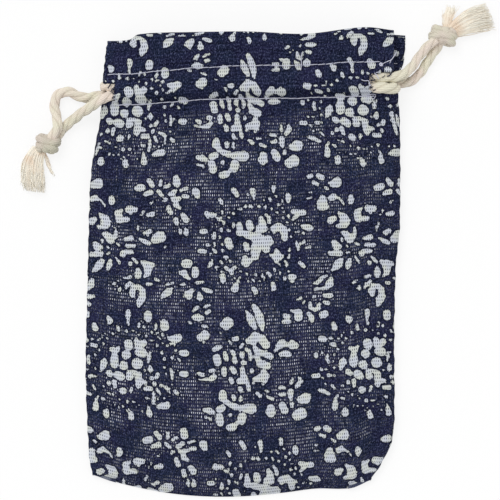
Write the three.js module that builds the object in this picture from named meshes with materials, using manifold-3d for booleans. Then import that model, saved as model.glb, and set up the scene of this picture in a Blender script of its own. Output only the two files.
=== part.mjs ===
// Kinchaku drawstring pouch, lying flat on its back with the mouth towards +Y.
// Millimetres, +Z up. The origin is under the middle of the cloth, on the surface it lies on.
import * as THREE from 'three';
import { mergeVertices } from 'three/addons/utils/BufferGeometryUtils.js';
import Module from 'manifold-3d';

const wasm = await Module();
wasm.setup();

// Driving dimensions of the cloth.
const pouchWidth = 102.0;
const bodyLength = 127.5;
const clothThickness = 0.6;
const seamAllowance = 7.0;
const bodyLift = 9.4;
const hemTurn = 1.5;
const frontHeaderDroop = 0.3;
const frontHeaderDroopAtSides = 2.2;

// Driving dimensions of the cords and threads.
const cordDiameter = 3.0;
const threadDiameter = 0.4;
const clearance = 0.3;
const weldDepth = 0.05;

// The front channel arches over the open mouth, so its cords lie higher in the middle than at the sides.
const frontCordHeight = 12.4;
const frontCordHeightAtSides = 7.7;
const mouthMiddle = 1.0;
const mouthReach = 46.3;

// The slits at the two sides, where the cords leave the channel.
const leftSlitEdge = -41.5;
const rightSlitEdge = 41.0;
const slitWidth = 8.6;
const channelShoulder = 1.1;

const tunnelHeight = cordDiameter + 2 * clearance;
const tunnelWidth = 2 * cordDiameter + 3 * clearance;
const hemThickness = 2 * clothThickness;
const channelThickness = tunnelHeight + hemThickness;

// The outline of the laid pouch: its four cross lines, as heights over X ...
const lowerStitchLine = [[-47, 50.2], [-32, 50.3], [-11, 52], [17, 52.5], [40, 53.2], [51, 53.3]];
const upperStitchLine = [[-47, 59.1], [-36, 59.3], [-18, 60.9], [0, 61.8], [18, 62], [37, 63.1], [51, 62.8]];
const topFold = [[-45, 70.4], [-37, 70.7], [-34, 72.4], [-18, 73], [1, 73.2], [19, 72.5],
  [38, 74.7], [51, 73.6]];
const bottomLevel = 52.5 - bodyLength;
const bottomFold = [[-49, 7.2], [-41.6, 4.6], [-26.6, 1.4], [-14.5, 0.1], [-1.8, 0], [11.3, 1.1],
  [22.5, 2.5], [33.6, 2.7], [40, 5.5]].map(([x, rise]) => [x, bottomLevel + rise]);

// ... and its sides, as insets from the full width. They run from 0 at the bottom fold to 1 at the lower
// stitches, 2 at the upper ones and 3 at the top. On the right the back's header stands out past the front's.
const leftInset = [[0, 2], [0.03, 1.3], [0.12, 0.6], [0.28, 0], [0.5, 0.5], [0.61, 0.8], [0.78, 1.4],
  [0.86, 2.4], [0.94, 4.2], [1, 5.1], [2, 5.7], [3, 6.9]];
const rightInsetBelow = [[0, 11], [0.05, 7.5], [0.1, 4.7], [0.16, 3.9], [0.39, 4], [0.57, 3.2], [0.65, 2],
  [0.91, 1.9], [0.97, 2.2]];
const rightInsetFront = [...rightInsetBelow, [1.1, 3.4], [2, 3.7], [3, 3.7]];
const rightInsetBack = [...rightInsetBelow, [1.1, 2.1], [1.8, 1.6], [2, 0.7], [2.5, 0.1], [3, 0]];

// A smooth curve through a list of [place, value] pairs, held level past its ends.
function through(knots, place) {
  const last = knots.length - 1;
  if (place <= knots[0][0]) return knots[0][1];
  if (place >= knots[last][0]) return knots[last][1];
  const i = knots.findIndex((knot) => knot[0] > place) - 1;
  const slope = (j) => {
    const a = knots[Math.max(j - 1, 0)];
    const b = knots[Math.min(j + 1, last)];
    return (b[1] - a[1]) / (b[0] - a[0]);
  };
  const width = knots[i + 1][0] - knots[i][0];
  const t = (place - knots[i][0]) / width;
  return knots[i][1] * (2 * t ** 3 - 3 * t ** 2 + 1) + slope(i) * width * (t ** 3 - 2 * t ** 2 + t)
    + knots[i + 1][1] * (3 * t ** 2 - 2 * t ** 3) + slope(i + 1) * width * (t ** 3 - t ** 2);
}

const mix = (a, b, t) => a + (b - a) * t;
const ramp = (from, to, value) => THREE.MathUtils.smoothstep(value, from, to);

// A point of the laid cloth seen from above. Across, u runs from -1 on the left to 1 on the right.
// Along, v runs from 0 at the bottom fold to 1 at the lower stitches, 2 at the upper ones and 3 at the top.
const crossLines = [bottomFold, lowerStitchLine, upperStitchLine, topFold];

function heightOfLine(x, v) {
  const section = Math.min(Math.floor(v), 2);
  return mix(through(crossLines[section], x), through(crossLines[section + 1], x), v - section);
}

function planPoint(u, v, rightInset) {
  const left = through(leftInset, v) - pouchWidth / 2;
  const right = pouchWidth / 2 - through(rightInset, v);
  const x = mix(left, right, (u + 1) / 2);
  return [x, heightOfLine(x, v)];
}

// Where the layers begin and end along the cloth, in the same measure as v.
const channelLength = 9.4;
const shoulderShare = channelShoulder / channelLength;
const hemEdge = 1 - hemTurn / bodyLength;
const allowanceTop = 0.97;
const step = 0.001;

// How thick the turned hem is: two layers at the stitches, and opened out by the cords between them.
function hemSection(v) {
  if (v < 1) return v > hemEdge ? hemThickness : clothThickness;
  const intoChannel = Math.min(v - 1, 2 - v) / shoulderShare;
  return mix(hemThickness, channelThickness, ramp(0, 1, intoChannel));
}

// Heights of the three free surfaces: the back's inner face, and the front's inner and outer faces.
const allowanceSide = 1 - (2 * seamAllowance) / pouchWidth;

function backInner(u, v) {
  const allowance = v < allowanceTop && Math.abs(u) > allowanceSide ? 2 * clothThickness : 0;
  return hemSection(v) + allowance;
}

function frontChannelInner(x) {
  const outward = Math.min(1, Math.abs(x - mouthMiddle) / mouthReach);
  const cordHeight = mix(frontCordHeight, frontCordHeightAtSides, outward ** 4);
  return cordHeight - tunnelHeight / 2 - clothThickness;
}

// The body swells from its seams like a slack cushion, and rises to the front channel below the mouth.
// Its fullness at a place is the share of its full height there.
const sideSwell = 3;
const bottomSwell = 2.2;
const bottomRound = 0.6;
const bottomSwellEnd = 0.4;
const mouthRise = [0.88, 0.985];

function frontInner(u, v) {
  const side = Math.abs(u);
  const seat = clothThickness + 2 * clothThickness * ramp(allowanceSide, 1, side) - weldDepth;
  const fromBottom = 1 - Math.max(0, 1 - v / bottomSwellEnd) ** bottomSwell;
  const fullness = Math.sqrt(1 - side ** sideSwell) * fromBottom ** bottomRound;
  const inBody = mix(seat, bodyLift + clothThickness, fullness);
  const inChannel = frontChannelInner(planPoint(u, v, rightInsetFront)[0]);
  const droop = Math.max(0, v - 2) * mix(frontHeaderDroop, frontHeaderDroopAtSides, side ** 4);
  return mix(inBody, inChannel, ramp(...mouthRise, v)) - droop;
}

const frontOuter = (u, v) => frontInner(u, v) + hemSection(v);

// A panel as one closed grid, with its lower and its upper face at the given heights.
const across = [0, 0.25, 0.5, 0.7, allowanceSide, allowanceSide + step, 0.93, 0.98, 1];
const uStops = [...across.slice(1).reverse().map((u) => -u), ...across];
const bodyStops = [0, 0.01, 0.03, 0.07, 0.14, 0.25, 0.4, 0.6, 0.8, 0.88, 0.92, 0.95];
const layerStops = [allowanceTop - step, allowanceTop, hemEdge, hemEdge + step, 1, 1 + shoulderShare];
const vStops = [...bodyStops, ...layerStops, 1.5, 2 - shoulderShare, 2, 2.3, 3];

function panel(rightInset, lower, upper) {
  const grid = new THREE.BoxGeometry(1, 1, 1, uStops.length - 1, vStops.length - 1, 1);
  const corner = grid.attributes.position;
  for (let i = 0; i < corner.count; i += 1) {
    const u = uStops[Math.round((corner.getX(i) + 0.5) * (uStops.length - 1))];
    const v = vStops[Math.round((corner.getY(i) + 0.5) * (vStops.length - 1))];
    const face = corner.getZ(i) > 0 ? upper : lower;
    corner.setXYZ(i, ...planPoint(u, v, rightInset), face(u, v));
  }
  return grid;
}

const weldTolerance = 1e-4;

function toSolid(geometry) {
  const bare = geometry.clone();
  bare.deleteAttribute('normal');
  bare.deleteAttribute('uv');
  const merged = mergeVertices(bare, weldTolerance);
  return new wasm.Manifold(new wasm.Mesh({
    numProp: 3,
    vertProperties: new Float32Array(merged.attributes.position.array),
    triVerts: new Uint32Array(merged.index.array),
  }));
}

function toGeometry(solid) {
  const mesh = solid.getMesh();
  const geometry = new THREE.BufferGeometry();
  geometry.setAttribute('position', new THREE.BufferAttribute(new Float32Array(mesh.vertProperties), 3));
  geometry.setIndex(new THREE.BufferAttribute(new Uint32Array(mesh.triVerts), 1));
  geometry.computeVertexNormals();
  return geometry;
}

// The channel follows the middle between the two stitch lines, and a bar cut along it is bent to that line.
const channelMiddle = (x) => (through(lowerStitchLine, x) + through(upperStitchLine, x)) / 2;
const barBends = 20;

function channelBar(fromX, toX, width, floor, roof) {
  const bar = new THREE.BoxGeometry(1, 1, 1, barBends, 1, 1);
  const corner = bar.attributes.position;
  for (let i = 0; i < corner.count; i += 1) {
    const x = mix(fromX, toX, corner.getX(i) + 0.5);
    const y = channelMiddle(x) + corner.getY(i) * width;
    corner.setXYZ(i, x, y, corner.getZ(i) > 0 ? roof(x) : floor(x));
  }
  return toSolid(bar);
}

// Two tunnels for the cords, and the slits at both sides, which lay the ends of the channels open.
const pastSide = 0.6 * pouchWidth;
const pastTop = 4 * bodyLift;
const backFloor = () => clothThickness;
const frontFloor = (x) => frontChannelInner(x) + clothThickness;
const backRoof = () => clothThickness + tunnelHeight;
const backTunnel = channelBar(-pastSide, pastSide, tunnelWidth, backFloor, backRoof);
const frontRoof = (x) => frontFloor(x) + tunnelHeight;
const frontTunnel = channelBar(-pastSide, pastSide, tunnelWidth, frontFloor, frontRoof);
const leftSlit = channelBar(-pastSide, leftSlitEdge, slitWidth, backFloor, () => pastTop);
const rightSlit = channelBar(rightSlitEdge, pastSide, slitWidth, backFloor, () => pastTop);

const backPanel = toSolid(panel(rightInsetBack, () => 0, backInner));
const frontPanel = toSolid(panel(rightInsetFront, frontInner, frontOuter));
const cloth = backPanel.add(frontPanel).subtract(backTunnel).subtract(frontTunnel)
  .subtract(leftSlit).subtract(rightSlit);

// Round cords and threads: a many-sided section carried along a curve through the given points.
function tube(points, diameter, steps, sides) {
  const section = new THREE.Shape(Array.from({ length: sides }, (_, i) => {
    const angle = (2 * Math.PI * i) / sides;
    return new THREE.Vector2(Math.cos(angle), Math.sin(angle)).multiplyScalar(diameter / 2);
  }));
  const path = new THREE.CatmullRomCurve3(points.map((point) => new THREE.Vector3(...point)));
  return new THREE.ExtrudeGeometry(section, { steps, extrudePath: path });
}

const group = new THREE.Group();
const navyCotton = new THREE.MeshStandardMaterial({ color: 0x24283e, roughness: 0.95, metalness: 0 });
const sewingThread = new THREE.MeshStandardMaterial({ color: 0xcdcfe0, roughness: 0.7, metalness: 0 });
const naturalCotton = new THREE.MeshStandardMaterial({ color: 0xd1c9b7, roughness: 0.9, metalness: 0 });

function addPiece(name, geometry, material) {
  const mesh = new THREE.Mesh(geometry, material.clone());
  mesh.name = name;
  group.add(mesh);
}

addPiece('pouch_cloth', toGeometry(cloth), navyCotton);

// Stitch rows: each thread lies just off the cloth, outside the channel's shoulders.
const threadSteps = 24;
const threadSides = 6;
const threadLift = clearance + threadDiameter / 2;
const upperRow = 2 + 0.04;
const lowerRow = 1 - 0.006;

// A panel runs straight between its stops across, so a thread on it does too.
function heightOnPanel(surface, u, v) {
  const next = Math.max(1, uStops.findIndex((stop) => stop >= u));
  const share = (u - uStops[next - 1]) / (uStops[next] - uStops[next - 1]);
  return mix(surface(uStops[next - 1], v), surface(uStops[next], v), share);
}

function stitchRow(name, v, surface, rightInset, fromU, toU) {
  const points = Array.from({ length: threadSteps + 1 }, (_, i) => {
    const u = mix(fromU, toU, i / threadSteps);
    return [...planPoint(u, v, rightInset), heightOnPanel(surface, u, v) + threadLift];
  });
  addPiece(name, tube(points, threadDiameter, threadSteps, threadSides), sewingThread);
}

stitchRow('stitch_front_upper', upperRow, frontOuter, rightInsetFront, -0.97, 0.9);
stitchRow('stitch_front_lower', lowerRow, frontOuter, rightInsetFront, -0.9, 0.82);
stitchRow('stitch_back_upper', upperRow, backInner, rightInsetBack, -0.96, 0.96);
stitchRow('stitch_back_lower', lowerRow, backInner, rightInsetBack, -0.82, 0.82);

// Side seam threads: inside the pouch, on the sewn edge of the seam allowances.
const seamSide = 0.955;
const seamBottom = 0.06;
const seamTop = 0.95;

function seamThread(name, side) {
  const points = Array.from({ length: threadSteps + 1 }, (_, i) => {
    const v = mix(seamBottom, seamTop, i / threadSteps);
    const u = side * seamSide;
    return [...planPoint(u, v, rightInsetFront), backInner(u, v) + threadLift];
  });
  addPiece(name, tube(points, threadDiameter, threadSteps, threadSides), sewingThread);
}

seamThread('seam_thread_left', -1);
seamThread('seam_thread_right', 1);

// Drawcords. Each list starts at the knot and ends at it: one free strand, the channel of one panel,
// the turn at the far slit, the channel of the other panel, and the other free strand.
const cordSteps = 76;
const cordSides = 8;

const leftCordRoute = [
  [-60.2, 42.0, 4.9], [-59.9, 44.2, 4.0], [-60.5, 47.0, 2.6], [-61.1, 50.0, 1.7], [-60.9, 52.6, 1.6],
  [-59.2, 54.3, 1.6], [-57.0, 54.3, 1.6], [-55.0, 53.0, 1.6], [-52.8, 51.9, 1.6], [-50.2, 52.2, 1.7],
  [-47.0, 53.0, 2.3], [-43.5, 53.2, 2.4], [-36, 53.2, 2.4], [-18, 54.5, 2.4], [0, 55.3, 2.4],
  [18, 55.6, 2.4], [33, 56.3, 2.4], [41, 56.4, 2.5], [44.2, 56.2, 4.0], [45.2, 56.1, 6.3],
  [44.2, 56.2, 8.7], [40, 56.5, 10.1], [33, 56.3, 11.2], [25, 55.9, 12.1], [12, 55.5, 12.4],
  [-4, 55.2, 12.4], [-18, 54.5, 12.3], [-26, 53.6, 11.8], [-33, 53.2, 11.0], [-40, 53.1, 9.3],
  [-43.4, 52.7, 8.8], [-46.3, 51.3, 8.7], [-49.4, 49.2, 6.6], [-52.4, 47.4, 4.0], [-55.2, 45.2, 2.3],
  [-57.6, 43.2, 1.6], [-58.9, 41.7, 1.6],
];

const rightCordRoute = [
  [58.7, 70.0, 4.7], [57.0, 68.2, 4.1], [54.9, 65.9, 3.9], [52.4, 62.2, 5.2], [49.4, 60.1, 7.2],
  [45.4, 59.6, 8.9], [40, 59.8, 10.1], [33, 59.6, 11.2], [25, 59.2, 12.1], [12, 58.8, 12.4],
  [-4, 58.5, 12.4], [-18, 57.8, 12.3], [-26, 57.0, 11.8], [-33, 56.6, 11.0], [-40, 56.4, 9.3],
  [-43.5, 56.3, 7.9], [-44.5, 56.3, 5.8], [-43.6, 56.3, 3.5], [-40, 56.4, 2.3], [-36, 56.5, 2.4],
  [-18, 57.8, 2.4], [0, 58.6, 2.4], [18, 58.9, 2.4], [33, 59.6, 2.4], [41, 59.7, 2.4],
  [45.5, 59.2, 2.4], [49.6, 57.6, 2.5], [52.8, 58.0, 2.2], [55.4, 60.6, 1.7], [57.4, 63.8, 1.5],
  [59.4, 66.6, 1.5], [61.0, 68.6, 1.7],
];

addPiece('drawcord_left', tube(leftCordRoute, cordDiameter, cordSteps, cordSides), naturalCotton);
addPiece('drawcord_right', tube(rightCordRoute, cordDiameter, cordSteps, cordSides), naturalCotton);

// A knot with its frayed ends: a rounded lump, and flattened tufts that spread away from it along the table.
const lumpFaces = [16, 10];
const tuftFaces = [12, 2];

function lump(centre, radii) {
  return new THREE.SphereGeometry(1, ...lumpFaces).scale(...radii).translate(...centre);
}

function tuft(from, to, startWidth, endWidth, flatness) {
  const way = new THREE.Vector3(...to).sub(new THREE.Vector3(...from));
  const length = way.length();
  const forward = way.normalize();
  const sideways = forward.clone().cross(new THREE.Vector3(0, 0, 1)).normalize();
  const upward = sideways.clone().cross(forward);
  return new THREE.CylinderGeometry(endWidth / 2, startWidth / 2, length, ...tuftFaces)
    .translate(0, length / 2, 0)
    .scale(1, 1, flatness)
    .applyMatrix4(new THREE.Matrix4().makeBasis(sideways, forward, upward))
    .translate(...from);
}

function knot(name, body, tufts) {
  const whole = tufts.reduce((sum, part) => sum.add(toSolid(part)), toSolid(body));
  addPiece(name, toGeometry(whole), naturalCotton);
}

knot('knot_left', lump([-63.3, 38.2, 3.3], [3.7, 3.5, 3.1]), [
  tuft([-65.0, 36.6, 2.6], [-67.6, 22.4, 1.7], 3.2, 6.8, 0.48),
]);
knot('knot_right', lump([62.9, 72.4, 3.3], [4.3, 3.0, 3.1]), [
  tuft([64.6, 73.6, 2.6], [79.0, 78.9, 1.7], 3.2, 5.6, 0.55),
  tuft([64.4, 74.0, 2.4], [65.8, 82.0, 1.4], 2.0, 3.8, 0.6),
]);

export default group;
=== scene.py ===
import math

import bpy
import numpy as np
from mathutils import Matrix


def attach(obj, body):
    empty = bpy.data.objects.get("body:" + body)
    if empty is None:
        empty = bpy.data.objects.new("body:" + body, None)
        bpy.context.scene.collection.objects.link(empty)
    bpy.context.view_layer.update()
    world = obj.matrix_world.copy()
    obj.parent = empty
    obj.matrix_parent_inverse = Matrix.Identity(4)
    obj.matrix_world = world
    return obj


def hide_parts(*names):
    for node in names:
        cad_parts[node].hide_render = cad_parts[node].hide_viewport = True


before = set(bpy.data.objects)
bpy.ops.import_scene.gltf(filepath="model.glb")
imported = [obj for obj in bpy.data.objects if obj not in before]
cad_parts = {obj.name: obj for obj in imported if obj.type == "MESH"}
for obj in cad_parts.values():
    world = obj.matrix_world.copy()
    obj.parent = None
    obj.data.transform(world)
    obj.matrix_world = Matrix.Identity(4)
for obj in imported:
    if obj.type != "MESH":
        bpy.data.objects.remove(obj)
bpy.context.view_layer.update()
bpy.ops.object.select_all(action="DESELECT")
MM = 0.001

# The camera looks straight down on the pouch from far away, as the photograph does. The photograph is
# 500 pixels wide, and the pouch's size sets how many of them make a millimetre.
PHOTO_SIDE = 500
PIXELS_PER_MM = 3.14
PHOTO_ORIGIN = (245.5, 261.8)
CAMERA_HEIGHT = 1600


def from_photo(x, y):
    """Millimetres in the frame for a pixel of the photograph."""
    return (x - PHOTO_ORIGIN[0]) / PIXELS_PER_MM, (PHOTO_ORIGIN[1] - y) / PIXELS_PER_MM


view_middle = from_photo(PHOTO_SIDE / 2, PHOTO_SIDE / 2)
camera_data = bpy.data.cameras.new("camera")
camera_data.lens = camera_data.sensor_width * CAMERA_HEIGHT * PIXELS_PER_MM / PHOTO_SIDE
camera_data.clip_end = 10
camera = bpy.data.objects.new("camera", camera_data)
bpy.context.scene.collection.objects.link(camera)
camera.location = (view_middle[0] * MM, view_middle[1] * MM, (CAMERA_HEIGHT + 6) * MM)
bpy.context.scene.camera = camera

# The drawcords are soft natural cotton, three strands laid together in an S twist, each of many yarns.
# Each is a loop through both channels that turns round at the far slit, and its ends meet in a knot.
CORD_DIAMETER = 3.0
CORD_LAY = 13.0
CORD_SIDES = 42
CORD_STEP = 0.7

left_cord_route = [
    (-62.1, 39.2, 4.0), (-61.3, 40.3, 4.4), (-60.2, 42.0, 4.6), (-59.9, 44.2, 4.0), (-60.4, 46.6, 2.8),
    (-60.9, 48.9, 2.0), (-61.0, 50.4, 1.76), (-60.7, 51.9, 1.76), (-59.9, 53.2, 1.76), (-58.6, 54.0, 1.76),
    (-57.1, 54.3, 1.76), (-55.6, 54.0, 1.76), (-54.2, 53.3, 1.76), (-52.5, 52.6, 1.76), (-50.2, 52.3, 1.76),
    (-47.0, 53.0, 2.3), (-43.5, 53.2, 2.4), (-36, 53.2, 2.4), (-18, 54.5, 2.4), (0, 55.3, 2.4),
    (18, 55.6, 2.4), (33, 56.3, 2.4), (38.5, 56.1, 2.4), (41.6, 55.8, 2.3), (43.6, 55.6, 2.3),
    (45.11, 55.5, 2.6), (46.39, 55.4, 3.46), (47.25, 55.3, 4.74), (47.55, 55.2, 6.25), (47.25, 55.2, 7.76),
    (46.39, 55.2, 9.04), (45.11, 55.2, 9.9), (43.6, 55.3, 10.2), (41.4, 55.5, 10.1), (38.5, 55.9, 10.0),
    (33, 56.3, 10.9), (25, 55.9, 12.1), (12, 55.5, 12.4), (-4, 55.2, 12.4), (-18, 54.5, 12.3),
    (-26, 53.6, 11.8), (-33, 53.2, 11.0), (-40, 53.1, 9.3),
    (-43.4, 52.7, 8.8), (-46.3, 51.3, 8.7), (-49.4, 49.2, 6.6), (-52.4, 47.4, 4.0), (-55.2, 45.2, 2.3),
    (-57.6, 43.2, 1.76), (-58.9, 41.7, 1.76), (-60.3, 40.0, 2.2), (-62.0, 38.4, 3.0),
]
right_cord_route = [
    (60.9, 71.0, 4.3), (58.9, 69.5, 4.4), (57.1, 67.6, 4.0), (55.0, 65.0, 3.9), (52.5, 61.5, 5.1),
    (49.5, 59.4, 7.1), (45.4, 58.6, 8.9), (40, 59.0, 10.1), (33, 59.6, 11.2), (25, 59.2, 12.1),
    (12, 58.8, 12.4), (-4, 58.5, 12.4), (-18, 57.8, 12.3), (-26, 57.0, 11.8), (-33, 56.6, 11.0),
    (-38, 56.4, 9.7), (-41.4, 56.0, 9.3), (-42.72, 55.9, 9.04), (-43.84, 55.8, 8.29), (-44.59, 55.8, 7.17),
    (-44.85, 55.8, 5.85), (-44.59, 55.8, 4.53), (-43.84, 55.9, 3.41), (-42.72, 56.0, 2.66),
    (-41.4, 56.2, 2.4), (-36, 56.5, 2.4), (-18, 57.8, 2.4), (0, 58.6, 2.4), (18, 58.9, 2.4), (33, 59.6, 2.4), (41, 59.7, 2.4),
    (45.5, 58.8, 2.4), (49.8, 57.0, 2.4), (53.2, 57.9, 2.0), (55.8, 60.3, 1.76), (57.7, 63.2, 1.76),
    (59.6, 66.2, 1.76), (61.2, 68.4, 1.76), (62.3, 70.7, 2.5),
]


def mix(start, end, share):
    return start + (end - start) * share


def ramp(start, end, value):
    """A smooth step from 0 at start to 1 at end."""
    share = np.clip((value - start) / (end - start), 0, 1)
    return share * share * (3 - 2 * share)


def lengths_along(line):
    return np.concatenate([[0], np.cumsum(np.linalg.norm(np.diff(line, axis=0), axis=1))])


def smooth_line(points, step):
    """Points about a step apart on a centripetal Catmull-Rom curve through the given ones."""
    points = np.array(points, float)
    points = np.vstack([2 * points[0] - points[1], points, 2 * points[-1] - points[-2]])
    finely = []
    for a, b, c, d in zip(points, points[1:], points[2:], points[3:]):
        t1 = np.linalg.norm(b - a) ** 0.5
        t2 = t1 + np.linalg.norm(c - b) ** 0.5
        t3 = t2 + np.linalg.norm(d - c) ** 0.5
        t = np.linspace(t1, t2, 12, endpoint=False)[:, None]
        ab = (t1 - t) / t1 * a + t / t1 * b
        bc = (t2 - t) / (t2 - t1) * b + (t - t1) / (t2 - t1) * c
        cd = (t3 - t) / (t3 - t2) * c + (t - t2) / (t3 - t2) * d
        abc = (t2 - t) / t2 * ab + t / t2 * bc
        bcd = (t3 - t) / (t3 - t1) * bc + (t - t1) / (t3 - t1) * cd
        finely.append((t2 - t) / (t2 - t1) * abc + (t - t1) / (t2 - t1) * bcd)
    finely = np.vstack([*finely, points[-2]])
    along = lengths_along(finely)
    places = np.linspace(0, along[-1], max(3, round(along[-1] / step) + 1))
    return np.stack([np.interp(places, along, finely[:, axis]) for axis in range(3)], axis=1)


def swept(line, radii, sides, turn=0.0, flatness=1.0):
    """A closed tube along a line, as vertices, faces and a UV place for each corner of each face.
    U runs once round the tube and V is the length along it. Its frame turns no more than it must."""
    line = np.asarray(line, float)
    tangents = np.gradient(line, axis=0)
    tangents /= np.linalg.norm(tangents, axis=1)[:, None]
    start = np.cross(tangents[0], (0.0, 0.0, 1.0))
    if np.linalg.norm(start) < 0.1:
        start = np.cross(tangents[0], (0.0, 1.0, 0.0))
    across = [start / np.linalg.norm(start)]
    for tangent in tangents[1:]:
        turned = across[-1] - tangent * np.dot(across[-1], tangent)
        across.append(turned / np.linalg.norm(turned))
    across = np.array(across)
    upward = np.cross(tangents, across) * flatness
    angles = np.arange(sides) / sides * 2 * math.pi + np.reshape(np.broadcast_to(turn, len(line)), (-1, 1))
    out = np.broadcast_to(np.reshape(radii, (-1, 1)) if np.ndim(radii) == 1 else radii, angles.shape)
    rings = (line[:, None] + across[:, None] * (np.cos(angles) * out)[:, :, None]
             + upward[:, None] * (np.sin(angles) * out)[:, :, None])
    vertices = np.vstack([rings.reshape(-1, 3), line[0], line[-1]])
    i, j = [index.ravel() for index in np.indices((len(line) - 1, sides))]
    k = (j + 1) % sides
    quads = np.stack([i * sides + j, i * sides + k, (i + 1) * sides + k, (i + 1) * sides + j], axis=1)
    faces = quads.tolist()
    along = lengths_along(line)
    places = [np.stack([np.stack([j, j + 1, j + 1, j], axis=1) / sides,
                        along[np.stack([i, i, i + 1, i + 1], axis=1)]], axis=2).reshape(-1, 2)]
    last = (len(line) - 1) * sides
    for j in range(sides):
        k = (j + 1) % sides
        faces.append((len(vertices) - 2, k, j))
        faces.append((len(vertices) - 1, last + j, last + k))
        places.append([(j / sides, 0), ((j + 1) / sides, 0), (j / sides, 0)])
        places.append([(j / sides, along[-1]), (j / sides, along[-1]), ((j + 1) / sides, along[-1])])
    return vertices, faces, np.vstack(places)


def new_piece(name, parts, material, nodes):
    """One mesh object, in place, from parts in millimetres, that rides on the pouch."""
    vertices, faces, places, count = [], [], [], 0
    for part_vertices, part_faces, part_places in parts:
        vertices.append(part_vertices)
        faces.extend([corner + count for corner in face] for face in part_faces)
        places.append(part_places)
        count += len(part_vertices)
    mesh = bpy.data.meshes.new(name)
    mesh.from_pydata((np.vstack(vertices) * MM).tolist(), [], faces)
    mesh.uv_layers.new(name="along").data.foreach_set("uv", np.vstack(places).ravel())
    mesh.shade_smooth()
    mesh.materials.append(material)
    piece = bpy.data.objects.new(name, mesh)
    bpy.context.scene.collection.objects.link(piece)
    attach(piece, "root")
    if nodes:
        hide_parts(*nodes)
    return piece


def laid_cord(line, diameter, sides=CORD_SIDES, relief=0.34, plump=1.0):
    """Three strands laid together along a line, so that the grooves between them run round it S-wise.
    The soft strands press flat against each other, so the grooves are shallower than round ones."""
    along = lengths_along(line)
    angle = np.arange(sides) / sides * 2 * math.pi
    from_strand = (angle + math.pi / 3) % (2 * math.pi / 3) - math.pi / 3
    rounded = np.sqrt(np.maximum(0.464 ** 2 - (0.536 * np.sin(from_strand)) ** 2, 0))
    section = mix(1, 0.536 * np.cos(from_strand) + rounded, relief)
    swell = (1 + 0.035 * np.sin(along * 1.3 + 2 * np.sin(along * 0.37))) * plump
    radii = section[None, :] * swell[:, None] * diameter / 2
    return swept(line, radii, sides, turn=-2 * math.pi * along / CORD_LAY)


def colour(text):
    """Linear colour for an sRGB hex value."""
    values = [int(text[i:i + 2], 16) / 255 for i in (1, 3, 5)]
    return (*[v / 12.92 if v <= 0.04045 else ((v + 0.055) / 1.055) ** 2.4 for v in values], 1.0)


def add_node(tree, kind, inputs, output=0, **settings):
    """Adds a node with its settings, sets or links its inputs, and gives the output that is wanted."""
    node = tree.nodes.new(kind)
    for key, value in settings.items():
        setattr(node, key, value)
    for socket, value in (inputs.items() if isinstance(inputs, dict) else enumerate(inputs)):
        if isinstance(value, bpy.types.NodeSocket):
            tree.links.new(value, node.inputs[socket])
        elif value is not None:
            node.inputs[socket].default_value = value
    return node.outputs[output]


def new_material(name):
    material = bpy.data.materials.new(name)
    material.use_nodes = True
    material.node_tree.nodes.clear()
    return material, material.node_tree


# Natural cotton cord: unbleached, matt and slightly fuzzy, creamy with greener and pinker strands. The
# yarns of a strand lie almost in line with the cord, 0.6 mm apart, which shows as fine soft grooves.
cord_cotton, tree = new_material("three_strand_natural_cotton")
uv = add_node(tree, "ShaderNodeUVMap", [], uv_map="along")
split = add_node(tree, "ShaderNodeSeparateXYZ", [uv]).node
round_it, along_it = split.outputs[0], split.outputs[1]
objects = add_node(tree, "ShaderNodeTexCoord", [], output=3)
tilt = add_node(tree, "ShaderNodeMath", [along_it, -0.9 / CORD_LAY], operation="MULTIPLY")
yarn_place = add_node(tree, "ShaderNodeMath", [round_it, tilt], operation="ADD")
yarn_turn = add_node(tree, "ShaderNodeMath", [yarn_place, 2 * math.pi * 17], operation="MULTIPLY")
wander = add_node(tree, "ShaderNodeTexNoise", {"Vector": objects, "Scale": 700.0, "Detail": 2.0})
wander = add_node(tree, "ShaderNodeMath", [wander, 7.0], operation="MULTIPLY")
yarn_turn = add_node(tree, "ShaderNodeMath", [yarn_turn, wander], operation="ADD")
yarns = add_node(tree, "ShaderNodeMath", [yarn_turn], operation="SINE")
# Painted shade: the grooves between the three strands are coloured darker.
strand = add_node(tree, "ShaderNodeMath", [round_it, 3.0, 0.5], operation="MULTIPLY_ADD")
strand = add_node(tree, "ShaderNodeMath", [strand], operation="FRACT")
strand = add_node(tree, "ShaderNodeMath", [strand, 0.5], operation="SUBTRACT")
strand = add_node(tree, "ShaderNodeMath", [strand], operation="ABSOLUTE")
groove_shade = add_node(tree, "ShaderNodeMapRange", {0: strand, 1: 0.32, 2: 0.5, 3: 0.0, 4: 0.35})
broad = add_node(tree, "ShaderNodeTexNoise", {"Vector": objects, "Scale": 170.0, "Detail": 2.0})
broad = add_node(tree, "ShaderNodeMapRange", {0: broad, 1: 0.38, 2: 0.62, 3: 0.0, 4: 1.0})
cord_colour = add_node(tree, "ShaderNodeMix", {0: broad, 6: colour("#f3e5d9"), 7: colour("#ede9d4")},
                       output=2, data_type="RGBA")
cord_colour = add_node(tree, "ShaderNodeMix", {0: groove_shade, 6: cord_colour, 7: colour("#bfb19c")},
                       output=2, data_type="RGBA")
# Painted shade: the fine grooves between the yarns are coloured darker too.
yarn_groove_shade = add_node(tree, "ShaderNodeMapRange", {0: yarns, 1: -1.0, 2: 0.1, 3: 0.4, 4: 0.0})
cord_colour = add_node(tree, "ShaderNodeMix", {0: yarn_groove_shade, 6: cord_colour, 7: colour("#c4b7a2")},
                       output=2, data_type="RGBA")
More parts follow.
